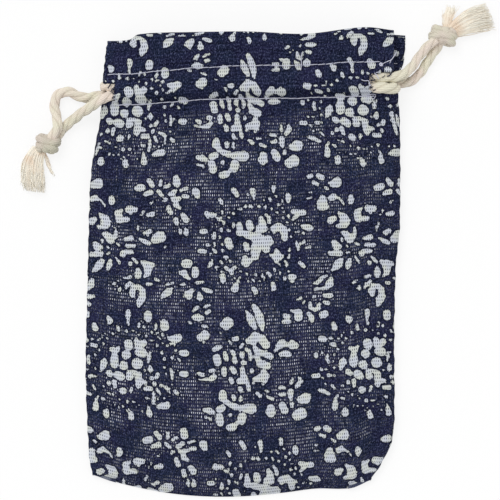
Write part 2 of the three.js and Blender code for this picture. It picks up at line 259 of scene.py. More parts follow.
# Painted shade: where the cord is wound into a knot, it is coloured darker, for the shade among its deep
# turns.
knot_shade = add_node(tree, "ShaderNodeAttribute", [], output=2, attribute_name="knot_shade")
cord_colour = add_node(tree, "ShaderNodeMix", {0: knot_shade, 6: cord_colour, 7: (0.78, 0.79, 0.78, 1.0)},
                       output=2, data_type="RGBA", blend_type="MULTIPLY")
fuzz = add_node(tree, "ShaderNodeTexNoise", {"Vector": objects, "Scale": 2600.0, "Detail": 2.0})
relief = add_node(tree, "ShaderNodeMath", [fuzz, 1.5, yarns], operation="MULTIPLY_ADD")
bumped = add_node(tree, "ShaderNodeBump", {"Strength": 0.55, "Distance": 0.00011, "Height": relief})
surface = add_node(tree, "ShaderNodeBsdfPrincipled", {
    "Base Color": cord_colour, "Roughness": 0.95, "Specular IOR Level": 0.2, "Sheen Weight": 0.2,
    "Normal": bumped})
tree.links.new(surface, tree.nodes.new("ShaderNodeOutputMaterial").inputs[0])

left_line = smooth_line(left_cord_route, CORD_STEP)
right_line = smooth_line(right_cord_route, CORD_STEP)
# The left cord's turn at the right slit has opened a little, so it is plumper there.
OPENED_AT = (44, 55, 8)
left_plumpness = 1 + 0.16 * np.exp(-np.sum((left_line - OPENED_AT) ** 2, axis=1) / 50)
# The right cord is pulled a little thinner by its knot.
right_plumpness = 1 - 0.08 * ramp(50, 54, right_line[:, 0])
# Outside, both are fluffed up a little. Inside the channels, the cloth holds them to their own thickness.
FLUFFED_UP = 1.12
HELD_IN = 0.11
left_plumpness = left_plumpness * (1 - HELD_IN * (1 - ramp(35, 39, np.abs(left_line[:, 0]))))
right_plumpness = right_plumpness * (1 - HELD_IN * (1 - ramp(35, 39, np.abs(right_line[:, 0]))))
left_cord = new_piece("cord_left", [laid_cord(left_line, FLUFFED_UP * CORD_DIAMETER, plump=left_plumpness)],
                      cord_cotton, ["drawcord_left"])
right_cord = new_piece("cord_right",
                       [laid_cord(right_line, FLUFFED_UP * CORD_DIAMETER, plump=right_plumpness)],
                       cord_cotton, ["drawcord_right"])

# Each knot is an overhand knot of both ends together, pulled tight, so its turns press into one plump
# lump. Past it the strands are untwisted into a flat tassel of loose yarns, cut by hand to unequal lengths.
cord_end_cotton, tree = new_material("frayed_natural_cotton")
uv = add_node(tree, "ShaderNodeUVMap", [], uv_map="along")
split = add_node(tree, "ShaderNodeSeparateXYZ", [uv]).node
objects = add_node(tree, "ShaderNodeTexCoord", [], output=3)
yarn_number = add_node(tree, "ShaderNodeMath", [split.outputs[0]], operation="FLOOR")
yarn_chance = add_node(tree, "ShaderNodeTexWhiteNoise", {"W": yarn_number}, noise_dimensions="1D")
end_colour = add_node(tree, "ShaderNodeMix", {0: yarn_chance, 6: colour("#f6ecdc"), 7: colour("#fdfbf0")},
                      output=2, data_type="RGBA")
patch = add_node(tree, "ShaderNodeTexNoise", {"Vector": objects, "Scale": 230.0, "Detail": 1.0})
patch = add_node(tree, "ShaderNodeMapRange", {0: patch, 1: 0.38, 2: 0.6, 3: 0.05, 4: 0.55})
near_knot = add_node(tree, "ShaderNodeMapRange", {0: split.outputs[1], 1: 3.0, 2: 9.0, 3: 1.0, 4: 0.0})
patch = add_node(tree, "ShaderNodeMath", [patch, near_knot], operation="MULTIPLY")
end_colour = add_node(tree, "ShaderNodeMix", {0: patch, 6: end_colour, 7: colour("#ebcfb4")}, output=2,
                      data_type="RGBA")
fuzz = add_node(tree, "ShaderNodeTexNoise", {"Vector": objects, "Scale": 4000.0, "Detail": 2.0})
bumped = add_node(tree, "ShaderNodeBump", {"Strength": 0.2, "Distance": 0.00002, "Height": fuzz})
surface = add_node(tree, "ShaderNodeBsdfPrincipled", {
    "Base Color": end_colour, "Roughness": 0.95, "Specular IOR Level": 0.2, "Sheen Weight": 0.2,
    "Normal": bumped})
tree.links.new(surface, tree.nodes.new("ShaderNodeOutputMaterial").inputs[0])

FIBRE_RADIUS = 0.13
chance = np.random.default_rng(11)


def level_frame(axis):
    """A unit direction, the level direction across it and the direction upward from both."""
    forward = np.array(axis, float) / np.linalg.norm(axis)
    sideways = np.cross(forward, (0, 0, 1.0))
    sideways /= np.linalg.norm(sideways)
    return forward, sideways, np.cross(sideways, forward)


def wound_turns(centre, axis, turns, reach, pitch, start_angle, lean):
    """The path of a cord wound round an axis, with both of its ends tucked into the middle. Its reach is
    how far it lies from the axis, level and upward."""
    forward, sideways, upward = level_frame(axis)
    share = np.linspace(0, 1, int(turns * 12) + 1)
    angle = start_angle + 2 * math.pi * turns * share
    tucked = np.minimum(1, np.minimum(share, 1 - share) * turns * 3.2 + 0.25)
    advance = pitch * turns * (share - 0.5) + lean * np.cos(angle)
    return (np.array(centre) + forward * advance[:, None]
            + sideways * (np.cos(angle) * tucked * reach[0])[:, None]
            + upward * (np.sin(angle) * tucked * reach[1])[:, None])


def knot(centre, axis, reach, turns):
    """The turns of a knot, wound round the cord ends that run into it, one that crosses, and its tightly
    packed middle."""
    made = []
    windings = ((turns, 1.0, 2.35, 2.4, 0.0), (1.0, 0.93, 0.5, 0.4, 1.9))
    for count, spread, pitch, start_angle, lean in windings:
        path = wound_turns(centre, axis, count, np.array(reach) * spread, pitch, start_angle, lean)
        made.append(laid_cord(smooth_line(path, 0.6), 3.3, sides=36, relief=0.26))
    forward = level_frame(axis)[0]
    share = np.linspace(-1, 1, 13)
    core = np.array(centre) + forward * share[:, None] * 3.1
    made.append(swept(core, 0.1 + 2.5 * np.sqrt(1 - share ** 2 * 0.98), 24))
    return made


def tassel(path, start_width, end_width, flatness, count, ragged=0.15, stray=0.35):
    """Loose yarns that fan out flat from a knot along a path, over a thin core of the same cotton."""
    path = np.array(path, float)
    forward, sideways, upward = level_frame(path[-1] - path[0])
    share = np.linspace(0, 1, 13)
    middle = smooth_line(path, 0.5)
    places = lengths_along(middle) / lengths_along(middle)[-1]
    widths = mix(start_width, end_width, np.minimum(1, share / 0.6) ** 0.7)
    spine = np.stack([np.interp(share * 0.88, places, middle[:, axis]) for axis in range(3)], axis=1)
    made = [swept(spine, widths * 0.5 * (1 - 0.2 * share ** 3), 16, flatness=flatness * 0.8)]
    for number in range(count):
        turn, out = chance.uniform(0, 2 * math.pi), math.sqrt(chance.uniform(0.35, 1))
        side, height = math.cos(turn) * out, math.sin(turn) * out * flatness
        reach = 1 - ragged * chance.uniform(0, 1) ** 1.3 + 0.06 * (1 - abs(side))
        spine = np.stack([np.interp(share * reach, places, middle[:, axis]) for axis in range(3)], axis=1)
        width = np.interp(share * reach, share, widths) / 2
        bend, drift = chance.normal(0, 0.25, 2), chance.normal(0, stray)
        curl = chance.uniform(1.5, 4) * 2 * math.pi * share + chance.uniform(0, 6)
        sway = np.sin(share * math.pi) * bend[0] + drift * share ** 2 + 0.16 * share * np.sin(curl)
        points = (spine + sideways * (side * width + sway)[:, None]
                  + upward * (height * width + bend[1] * 0.3 * np.sin(share * math.pi)
                              + 0.12 * share * np.cos(curl))[:, None])
        points[:, 2] = np.maximum(points[:, 2], 0.2)
        radii = FIBRE_RADIUS * chance.uniform(0.7, 1.2) * mix(1.0, 0.45, share ** 3)
        vertices, faces, uv_places = swept(points, radii, 4, turn=turn)
        uv_places[:, 0] = uv_places[:, 0] * 0.98 + number
        made.append((vertices, faces, uv_places))
    return made


left_knot = new_piece("knot_left_turns", knot((-63.3, 37.7, 3.4), (-0.45, -0.89, 0), (2.7, 1.45), 1.7),
                      cord_cotton, ["knot_left"])
right_knot = new_piece("knot_right_turns", knot((63.2, 72.1, 3.4), (0.5, 0.87, 0), (3.3, 1.45), 1.75),
                       cord_cotton, ["knot_right"])
# Painted shade on the knots: full on the left one, less on the right one.
for piece, knot_shade_share in ((left_knot, 1.0), (right_knot, 0.65)):
    knot_shade = piece.data.attributes.new("knot_shade", "FLOAT", "POINT")
    knot_shade.data.foreach_set("value", np.full(len(piece.data.vertices), knot_shade_share, np.float32))
left_tassel = new_piece(
    "tassel_left",
    tassel([(-66.0, 36.4, 2.7), (-67.7, 31.5, 2.2), (-67.6, 22.4, 1.7)], 4.0, 7.2, 0.42, 270, ragged=0.28)
    + tassel([(-64.6, 35.4, 2.2), (-62.4, 29.5, 1.0), (-60.8, 27.4, 0.8)], 0.5, 0.9, 0.6, 9, ragged=0.2),
    cord_end_cotton, ["knot_left"])
right_tassel = new_piece(
    "tassel_right",
    tassel([(65.2, 73.2, 2.7), (71.4, 76.5, 2.2), (78.4, 78.6, 1.8)], 3.4, 8.0, 0.42, 270, ragged=0.2,
           stray=0.5)
    + tassel([(64.4, 73.6, 2.6), (64.6, 77.6, 2.2), (66.0, 82.0, 1.6)], 2.0, 3.2, 0.5, 46, ragged=0.35,
             stray=0.7),
    cord_end_cotton, ["knot_right"])

# The cloth is one strip of coarse, open plain-weave cotton, printed on its outer face, folded at the
# bottom and sewn inside along both sides. Each end is turned in for the header and the cord channel.
# It is modelled as a front and a back half that meet on the bottom fold.
POUCH_WIDTH = 102.0
BODY_LENGTH = 127.5
CHANNEL_LENGTH = 9.4
HEADER_LENGTH = 11.4
UPPER_LENGTH = 10.4
HEM_LENGTH = 22.4
FOLD_LENGTH = 1.9
STITCH_ROWS = (1.0, 2.04)
CLOTH = 0.6
DRAWN_CLOTH = 0.52
HEM = 2 * CLOTH
CHANNEL = 4.8
ALLOWANCE = 7.0
MESH_STEP = 0.66
LEFT_SLIT = -41.7
RIGHT_SLIT = 39.8

# Cross lines of the laid pouch, as heights over X, and its sides, as insets from the full width over a
# measure that is 0 at the bottom fold, 1 at the lower stitches, 2 at the upper ones and 3 at the top.
bottom_fold = [(x, rise - 75) for x, rise in (
    (-49, 7.2), (-41.6, 4.6), (-26.6, 1.4), (-14.5, 0.1), (-1.8, 0), (11.3, 1.1), (22.5, 2.5), (33.6, 2.7),
    (40, 5.5))]
lower_stitches = [(-47, 50.1), (-32, 50.6), (-11, 52.1), (17, 52.5), (40, 53.2), (51, 53.3)]
upper_stitches = [(-47, 59.1), (-36, 59.3), (-18, 60.9), (0, 61.8), (18, 62), (37, 63.1), (51, 62.8)]
top_fold = [(-45, 70.4), (-37, 70.7), (-34, 72.4), (-18, 73), (1, 73.2), (19, 72.5), (38, 74.7),
            (47, 73.9), (51, 73.6)]
left_inset = [(0, 2), (0.03, 1.3), (0.12, 0.6), (0.28, 0), (0.5, 0.5), (0.61, 0.8), (0.78, 1.4), (0.86, 2.4),
              (0.94, 4.2), (1, 5.1), (2, 5.7), (3, 6.9)]
right_inset_below = [(0, 10.8), (0.05, 7), (0.1, 4.3), (0.16, 3.5), (0.39, 3.5), (0.57, 2.9), (0.65, 1.8),
                     (0.91, 1.7), (0.97, 2.1)]
right_inset_front = right_inset_below + [(1.1, 3.4), (2, 3.7), (3, 3.7)]
right_inset_back = right_inset_below + [(1.1, 2.1), (1.8, 1.6), (2, 0.7), (2.5, 0.1), (3, 0)]


def through(knots, place):
    """A smooth curve through pairs of place and value, level past its ends."""
    places, values = np.array(knots, float).T
    number = np.arange(len(places))
    before, after = np.maximum(number - 1, 0), np.minimum(number + 1, number[-1])
    slopes = (values[after] - values[before]) / (places[after] - places[before])
    place = np.clip(place, places[0], places[-1])
    i = np.clip(np.searchsorted(places, place, side="right") - 1, 0, number[-1] - 1)
    width = places[i + 1] - places[i]
    t = (place - places[i]) / width
    return (values[i] * (2 * t ** 3 - 3 * t ** 2 + 1) + slopes[i] * width * (t ** 3 - 2 * t ** 2 + t)
            + values[i + 1] * (3 * t ** 2 - 2 * t ** 3) + slopes[i + 1] * width * (t ** 3 - t ** 2))


def height_of_line(x, v):
    lines = np.stack([through(line, x) for line in (bottom_fold, lower_stitches, upper_stitches, top_fold)])
    section = np.clip(np.floor(v), 0, 2).astype(int)[None]
    return mix(np.take_along_axis(lines, section, axis=0)[0],
               np.take_along_axis(lines, section + 1, axis=0)[0], v - section[0])


def back_drop(x, v):
    """How much lower than the front's the back's header is, where it shows past the front at the right."""
    return 1.3 * ramp(43, 47.5, x) * ramp(2.3, 3, v)


def hem_section(v):
    """How thick the turned hem is: two layers at the stitches, and opened out by the cords between."""
    from_middle = np.clip(np.abs(2 * v - 3), 0, 1)
    return mix(CLOTH, HEM, ramp(0.983, 0.993, v)) + (CHANNEL - HEM) * (1 - from_middle ** 3.5)


def front_inner(x, u, v):
    """The front's inner face: it swells from its seams, and the channel arches over the open mouth."""
    side = np.abs(u)
    seat = CLOTH + 2 * CLOTH * ramp(1 - 2 * ALLOWANCE / POUCH_WIDTH, 1, side) - 0.05
    from_bottom = np.maximum(0, 1 - np.maximum(0, 1 - v / 0.4) ** 2.2) ** 0.6
    in_body = mix(seat, 10.0, np.sqrt(np.maximum(0, 1 - side ** 3)) * from_bottom)
    in_channel = mix(12.4, 7.7, np.minimum(1, np.abs(x - 1) / 46.3) ** 4) - 1.8 - CLOTH
    droop = np.maximum(0, v - 2) * mix(0.3, 2.2, side ** 4)
    return mix(in_body, in_channel, ramp(0.88, 0.985, v)) - droop


def softness(x, y, u, v):
    """Small waves and puckers of the front: broad in the body, short beside the stitches and the header."""
    inside = (1 - np.abs(u) ** 4) * ramp(0.03, 0.25, v)
    body = (np.sin(x / 8.3 + 1.2 * np.sin(y / 19)) * np.sin(y / 13.7 + 0.9 * np.sin(x / 23 + 1))
            + 0.6 * np.sin((x + 0.6 * y) / 6.1 + np.sin(y / 11)))
    waves = 0.3 * body * (1 - ramp(0.9, 0.985, v)) * inside
    header = ramp(2.05, 2.7, v) * 0.22 * (np.sin(x / 4.7 + 1) + np.sin(x / 2.9 + 2.2))
    deep = 0.45 * ramp(1.05, 1.3, v) + 0.55 * ramp(2.08, 2.3, v)
    crease = -deep * np.exp(-((x - 18.0) / 0.5) ** 2)
    pucker = np.zeros_like(x)
    for row in STITCH_ROWS:
        apart = (v - row) * np.where(v < 1, BODY_LENGTH, UPPER_LENGTH)
        tight = np.exp(-np.abs(apart) / 2.2) * ramp(0.0, 0.8, np.abs(apart))
        pucker += (0.13 * tight * np.sin(2.1 * x + 1.5 * np.sin(x / 5) + row * 3)
                   - 0.1 * np.exp(-apart ** 2 / 0.2))
    return waves + header + crease + pucker * (1 - np.abs(u) ** 6)


# The columns across the strip: the left seam allowance, the turn at the side fold, the face, the right
# turn and the right allowance. The rows go along the strip.
face_count = round(POUCH_WIDTH / MESH_STEP) + 1
face_across = np.linspace(-1, 1, face_count)
turn_angles = np.radians([45, 90, 135, 180])
allowance_places = np.array([0.15, 0.4, 0.7, 1.0])
column_u = np.concatenate([-np.ones(8), face_across, np.ones(8)])
column_side = np.concatenate([-np.ones(8), np.zeros(face_count), np.ones(8)])
column_turn = np.concatenate([np.full(4, math.pi), turn_angles[::-1], np.zeros(face_count), turn_angles,
                              np.full(4, math.pi)])
column_in = np.concatenate([allowance_places[::-1], np.zeros(4 + face_count + 4), allowance_places])


def half_rows():
    """The rows of one half, from the hem's raw edge over the top to the bottom fold: which face a row is
    on, its place along, and how far it has turned at a fold."""
    hem = np.linspace(0.9885, 3, round(HEM_LENGTH / MESH_STEP))
    body = np.concatenate([np.linspace(3, 2, 18, endpoint=False), np.linspace(2, 1, 15, endpoint=False),
                           np.linspace(1, 0, round(BODY_LENGTH / MESH_STEP) + 1)])
    top_turn = np.radians([36, 72, 108, 144])
    bottom_turn = np.radians([30, 60, 90])
    kind = np.concatenate([np.full(len(hem), 0), np.full(4, 1), np.full(len(body), 2), np.full(3, 3)])
    v = np.concatenate([hem, np.full(4, 3.0), body, np.zeros(3)])
    turned = np.concatenate([np.zeros(len(hem)), top_turn, np.zeros(len(body)), bottom_turn])
    return kind[:, None], v[:, None], turned[:, None]


def half_places(is_front):
    """Where each point of one half lies, and where it is on the flat strip and in its print."""
    kind, v, turned = half_rows()
    inset = right_inset_front if is_front else right_inset_back
    ripple = 0.09 * np.sin(88 * v) + 0.07 * np.sin(203 * v + 1)
    left = through(left_inset, v) - POUCH_WIDTH / 2 + ripple
    right = POUCH_WIDTH / 2 - through(inset, v) + ripple
    opened = ramp(0.95, 0.985, v)
    radius = mix(0.58, 0.28, opened)
    allowance = mix(ALLOWANCE, 0.3, opened)
    face_x = mix(left + radius, right - radius, (column_u + 1) / 2)
    x = face_x + column_side * (radius * np.sin(column_turn) - allowance * column_in)
    u = 2 * (face_x - left) / (right - left) - 1
    v = np.broadcast_to(v, x.shape)
    y = height_of_line(np.clip(x, left, right), v) - (0 if is_front else back_drop(x, v))
    front_in = front_inner(face_x, u, v)
    waves = softness(face_x, y, u, v)
    front_out = front_in + hem_section(v) + waves
    if is_front:
        outer, inner = front_out, front_in + waves
        outer_in = mix(1.22, outer - 0.56, opened)
        inner_in = inner + 0.56
    else:
        row_dents = sum(0.2 * np.exp(-((v - row) * 11) ** 2 / 0.3) for row in STITCH_ROWS)
        outer, inner = row_dents + 0 * x, hem_section(v)
        outer_in = mix(1.18, 0.56, opened) + 0 * x
        inner_in = inner - 0.56
    side_share = (1 - np.cos(column_turn)) / 2
    outer_z = mix(outer, outer_in, side_share)
    inner_z = mix(inner, inner_in, side_share)
    fold_share = (1 - np.cos(turned)) / 2
    other_z = (mix(0 * x, 1.18, side_share) if is_front else mix(front_out, 1.22, side_share))
    z = np.select([kind == 0, kind == 1, kind == 2],
                  [inner_z, mix(inner_z, outer_z, fold_share), outer_z], mix(outer_z, other_z, fold_share))
    top = np.where(kind == 1, np.sin(turned), 0) - ramp(2.75, 3, v)
    bottom = 1 - ramp(0, 0.03, v) - np.where(kind == 3, np.sin(turned), 0)
    y_laid = y + CLOTH * top + CLOTH * bottom
    fold_y, top_y = height_of_line(face_x, 0 * v), height_of_line(face_x, 0 * v + 3)
    pattern_x = face_x + column_side * (radius * column_turn + allowance * column_in)
    if is_front:
        # The header's crease takes up cloth, and the left of the channel is pulled a little to the right.
        taken_up = ramp(17.5, 18.5, face_x) * (0.7 * ramp(1.05, 1.3, v) + 0.7 * ramp(2.0, 2.1, v))
        pulled_over = (1 - ramp(-30, -8, face_x)) * ramp(0.78, 0.88, v) * (1 - ramp(2.5, 2.9, v))
        pattern_x = pattern_x + taken_up - 0.9 * pulled_over
    round_the_top = np.where(kind == 1, CLOTH * (math.pi - turned), 0)
    pattern_y = np.where(kind == 0, 2 * top_y - y + FOLD_LENGTH, y + round_the_top)
    pattern_y = np.where(kind == 3, pattern_y - CLOTH * turned, pattern_y)
    if not is_front:
        pattern_y = 2 * fold_y - pattern_y - FOLD_LENGTH
    lengths = np.interp(v, [0, 1, 2, 3], np.cumsum([0, BODY_LENGTH, CHANNEL_LENGTH, HEADER_LENGTH]))
    whole = BODY_LENGTH + CHANNEL_LENGTH + HEADER_LENGTH
    strip_y = np.where(kind == 0, 2 * whole - lengths + FOLD_LENGTH, lengths)
    strip_y = strip_y - np.where(kind == 3, CLOTH * turned, 0)
    strip_y = strip_y + round_the_top
    strip_x = column_u * POUCH_WIDTH / 2 + column_side * (radius * column_turn + allowance * column_in)
    if not is_front:
        strip_y = -strip_y - FOLD_LENGTH
    shown = 1 - np.where(kind == 2, ramp(0.94, 0.975, v), 1)
    shown = shown * (1 - 0.6 * ramp(0.84, 0.88, np.abs(u))) * (1 - 0.45 * ramp(22, 34, face_x))
    shown = shown * mix(0.55, 1, ramp(0.05, 0.2, v))
    return {"at": np.stack([x, y_laid, z], axis=-1), "print": (pattern_x, pattern_y),
            "strip": np.stack([strip_x, strip_y], axis=-1), "daylight": shown * (column_side == 0),
            "kind": kind, "v": v, "x": face_x}


# The print is a common indigo and white folk floral: blossoms, buds, leaves and berries with scattered
# dots, and it repeats all over the cloth. Each shape is a chain of round dabs, each of them X, Y and
# width in the photograph's pixels. It is listed once, and the repeat carries it over the cloth.
PRINT_ACROSS = (239.0, -1.0)
PRINT_ALONG = (7.5, 252.0)
# The front's print is squeezed towards the middle above the body. Each pair is where that begins and ends.
SQUEEZE_ROWS = (115, 155)
SQUEEZE_COLUMNS = (195, 310)
HEADER_ROWS = (38, 90)
RAISED_ROWS = (45, 90)

berry_cluster = [
    [(128.5, 343.5, 9), (129, 346, 9)], [(136.5, 340, 5), (139, 346, 9)], [(144, 342.5, 6.5), (140, 346, 8)],
    [(139, 352, 8), (142.5, 352.5, 9.5)], [(126.5, 354.5, 9.5)], [(137.5, 363.5, 11.3)], [(124, 365.5, 9.2)],
    [(118, 374.5, 8), (121, 376.5, 8)], [(129, 372.5, 5), (130, 376.5, 8)],
    [(129, 372, 4), (134, 371.5, 3.5), (138, 374, 6)], [(138.5, 374.5, 7), (139, 384, 7), (139, 387, 4)],
    [(142, 381.5, 6), (145.5, 382, 4)], [(114.5, 381.5, 5), (115, 387, 3.5)], [(123, 390.5, 7.5)],
    [(132, 388, 3), (131, 391.5, 3)], [(350, 348, 4.5), (354, 349.5, 6.5)],
    [(357.5, 346.5, 4), (355, 350, 6)],
    [(353.5, 353, 6), (353.5, 358, 9), (353.5, 363, 8.5)],
    [(343.5, 358, 3.5), (342.8, 362, 8), (341, 367, 5), (339.5, 369.5, 2.5)],
    [(347.5, 371.5, 6), (349.5, 373, 6)], [(348, 382, 5.3)],
    [(150.5, 353, 2.5), (149, 358, 4), (148.5, 362, 2.5)],
    [(150.5, 366, 3), (150.5, 369, 6), (150.5, 372, 2)],
    [(145.5, 388.5, 5), (150.5, 388.5, 5)], [(154.5, 383.5, 5)], [(158, 374, 4), (156.5, 377, 4.5)],
    [(152, 378, 4.3)], [(145, 370.5, 2.5)],
]
scattered_dots = [
    [(118, 326.5, 3), (119, 330, 4)], [(126.8, 330.8, 3.8)], [(132, 330.4, 1.5), (134.3, 331.3, 1.8)],
    [(139.2, 323.8, 2.5), (138.8, 327, 2.8)], [(144, 326.5, 3.2)], [(141, 320.8, 1.8)], [(113, 333.8, 3.5)],
    [(138.8, 334.3, 2), (140.3, 334.3, 2)], [(146.2, 336.5, 3.3)], [(151.5, 331, 2), (153, 333.5, 2.2)],
    [(155, 334.3, 1.8), (158, 332.5, 2.5)], [(162.8, 334.5, 3.6)], [(158.2, 337.2, 1.5), (161, 338.8, 2.2)],
    [(151, 340.8, 2.5), (153, 340.5, 2.5)], [(157, 345.5, 4)], [(163.5, 343, 2.2)], [(161.5, 352, 3.8)],
    [(164.5, 359, 4)], [(165, 367, 2.8)], [(166, 373, 3)], [(148, 314.5, 8), (148, 318, 8)],
    [(146.5, 321.5, 1.5)], [(149, 322, 1.5)], [(156.2, 323, 1.8), (156.2, 327, 4), (155.5, 330, 2)],
    [(164.2, 323, 8), (164.8, 326.5, 9)],
    [(128, 311.5, 5), (128.2, 315.5, 5.5), (128.3, 319.5, 2.5), (128.3, 322.5, 2.5), (129, 324.5, 3.5)],
    [(113, 395, 3)], [(118.5, 396.5, 1.5)], [(120, 399, 2.5)], [(127.5, 401.5, 4)],
    [(132.8, 401.5, 2.3), (135.2, 401.5, 2.5)], [(141, 400, 1.8)], [(146.3, 398, 2.8), (148.8, 398, 2.8)],
    [(158, 398.5, 2.2)], [(163.5, 398.5, 2.7)],
    [(158.5, 406.5, 4), (163, 405.5, 7), (167, 405, 7.5)], [(175, 391, 3.5), (178, 393.5, 3.5)],
    [(170.8, 368, 1.5), (172, 372.5, 4), (172, 378, 3)], [(174.5, 372, 2)],
    [(174, 355, 1.5), (172, 358, 3.5)], [(175.5, 350.5, 2.6)], [(178, 370, 2)], [(173, 384, 2)],
    [(178, 358.5, 1.5), (180, 360, 3.5)], [(182, 352.5, 6.5), (186, 353, 7)],
    [(182, 373.5, 6), (186, 374, 6)],
    [(169, 338, 3.5), (175, 339, 9), (179, 337.5, 7.5)], [(167, 346, 2), (172, 343, 3)],
    [(175, 343, 3), (175, 345.5, 1.8)], [(341.5, 334.5, 2), (340.8, 337, 2.5)],
    [(337.3, 338.5, 1.5), (340, 338, 2)], [(346.5, 337.5, 3)], [(344, 332.5, 1.7)],
    [(330, 338, 2.5), (332, 338, 2.5)], [(331, 343.8, 4), (334.5, 344.5, 4.5)], [(342.5, 343, 3)],
    [(338.3, 348.8, 2.8)], [(334.5, 354, 3)], [(333.5, 360.8, 2)], [(334, 367.5, 2.5)],
    [(333.3, 372.3, 1.2)], [(334.5, 375, 2.6)], [(338, 380.5, 1), (339.5, 380.3, 1)], [(342.5, 385.5, 3.2)],
    [(332, 385, 3), (334.5, 388.5, 2)], [(347, 392, 2), (349, 392, 2)],
    [(341.5, 397.3, 2.8), (344, 398.5, 2.8)],
    [(346, 405, 1.3), (348, 405, 1.3)], [(353.8, 403.8, 1.3), (352.8, 406, 1.8)], [(357.8, 406, 2.5)],
    [(362.5, 405.8, 2.3)], [(367.5, 408, 1.8)], [(372.8, 406.3, 1.8)], [(378, 404.5, 1.8)], [(119, 159, 2)],
    [(135, 159, 2)], [(337.5, 158.5, 6), (337.8, 161.5, 7)], [(123, 161, 4.5), (124, 165, 6.5)],
    [(140.5, 152, 1.5), (141.5, 157, 4), (142.3, 162, 6.5)],
    [(337.5, 394.8, 2), (335, 398, 2.5), (335, 404, 6), (334.5, 407, 6.5)],
    [(327.3, 355, 3), (327, 358.5, 3.5), (327.8, 362, 3.3)], [(322, 352, 2.5)],
    [(324.5, 345.8, 1.8), (326.5, 345.5, 1.8)], [(320.5, 338.5, 6), (324, 339, 6.5)],
    [(320.3, 368.3, 2.5), (322, 369.5, 2.5)], [(325.3, 369, 2), (327.5, 368.8, 2)],
    [(313.3, 375.5, 4.5), (318.3, 375.3, 4.5)], [(328.5, 375, 3.8), (331, 375, 3.8)],
    [(321.5, 377, 1.2), (323.5, 378.8, 1.2), (325.5, 377, 1.2)], [(325, 383.3, 2.3)],
    [(319.5, 390, 4), (323.5, 391, 4.5), (329, 393.5, 3.5)], [(315.8, 354.8, 5), (316, 356.8, 3)],
]
leaf_spray = [
    [(137.5, 188.5, 6.5), (142, 187.5, 7.5)], [(148.5, 180.5, 4.5), (152, 185, 6)],
    [(160.5, 180.5, 3.5), (160.5, 185, 4.5)], [(165, 187.5, 3.5), (169, 185.5, 4)],
    [(176, 178.5, 7), (177, 183.5, 8)], [(145, 194.5, 4), (151, 192.5, 6)],
    [(158.5, 191.5, 4), (162, 195, 4)],
    [(170.5, 194.5, 5), (175, 191.5, 5)], [(181, 190.5, 3.5), (187, 188.5, 3.5)],
    [(183.5, 196.5, 4), (187.5, 196.5, 4.5)], [(173, 199.5, 5), (178, 199, 5), (181, 198, 3)],
    [(176, 201, 5.5), (176, 205, 6), (180, 208, 3.5)], [(163.5, 200.8, 2.5), (166.5, 199.5, 3.5)],
    [(151, 203.8, 2), (154, 201, 2)], [(111.5, 197.8, 5), (112, 200.5, 7), (111.5, 203, 5)],
    [(168.5, 207.5, 5), (171, 213, 5)], [(176, 219, 5), (177, 223.5, 5)],
    [(183, 215.5, 5.5), (186, 219.5, 7)],
]
budding_branch = [
    [(129, 209.5, 7.5), (135, 209.5, 6)], [(131, 212.5, 5)], [(122, 210, 3), (118, 213, 7)],
    [(118, 213, 7), (119.5, 219.5, 8)], [(121, 219.5, 6), (128, 219.5, 5)], [(144, 211, 2), (141, 216, 2)],
    [(148.5, 215, 4.5), (153, 214.2, 5.5)], [(125.5, 239.5, 4), (131, 238, 6)],
    [(139.5, 224, 2), (138, 228, 2.8), (137.5, 231.5, 1.5)], [(145, 233.5, 3.5), (150, 231.5, 5)],
    [(147.5, 235, 3)], [(140.5, 239, 2.5), (145, 241.5, 5), (149.5, 243.5, 4)],
    [(155.5, 239.5, 9), (160, 237, 12)], [(162.5, 233.5, 5)], [(165.2, 247, 2.5), (167, 247, 2)],
    [(117, 244.2, 2), (119.5, 245.5, 3)], [(127, 246, 4), (135, 245.8, 3.8)],
    [(123, 254, 7), (124.5, 252, 5)],
    [(124.5, 252, 4.5), (131.5, 252, 5)], [(116, 257.5, 1.8), (118.5, 261.5, 3), (120, 263.5, 1.8)],
    [(133, 258.5, 2.5), (136, 261, 3.8), (138.5, 263.5, 2)], [(130.5, 263.5, 4.8)],
    [(142, 262, 3.5), (147, 265, 9)], [(147, 265, 9), (153, 265, 5)], [(148, 267, 10), (148, 273, 6.5)],
    [(148, 273, 6), (144, 277.5, 2)], [(138, 269, 4), (138.5, 273, 7), (138, 276.5, 5.5)],
    [(123.5, 278.5, 1.8), (127, 278, 3), (130.5, 276.5, 3.5)],
    [(118, 281, 2), (114.5, 283.5, 3), (112.3, 285, 1.5)],
    [(131, 282, 3), (127.5, 285.5, 4.5), (125.5, 289, 2.5)], [(120.3, 286.8, 2), (120, 289.5, 4.5)],
    [(117.8, 290, 1.8)], [(134, 286.5, 5), (132.5, 292, 7), (133, 295.5, 5)],
    [(134, 286.5, 5), (139, 287, 5), (143, 290, 5)],
    [(142.5, 291, 6.5), (143, 297, 7), (140.5, 301, 8), (139, 305, 5)],
    [(147.5, 284, 3.2), (151.5, 284, 3.2)], [(154.5, 278.5, 1.8), (157.5, 280, 3), (160.5, 282, 1.8)],
    [(167, 284.2, 3), (173, 283, 3.5)], [(178.5, 285, 1.5), (184.5, 284, 3)],
    [(172.5, 288.5, 3), (168.5, 291.5, 7.5), (164.5, 295, 6), (161.5, 297.5, 1.8)],
    [(191.5, 291, 5.5), (188.5, 294.5, 9), (189, 298.5, 3.5)], [(183.5, 296.5, 2), (187, 295, 5)],
    [(185.5, 263.5, 8.5), (188.5, 263.5, 9)], [(181, 272.5, 4.5), (184.5, 273, 7)],
    [(185, 274.5, 6), (189, 278.5, 4)], [(195.3, 269.5, 6.5), (195.5, 274.5, 7.5)],
    [(192.5, 284, 1.8), (198, 282.5, 3), (203, 281.5, 3)],
    [(203.5, 289, 3.5), (208, 290.5, 5), (211, 291.5, 4)],
    [(199.8, 293.3, 3), (200, 297.5, 7)],
]
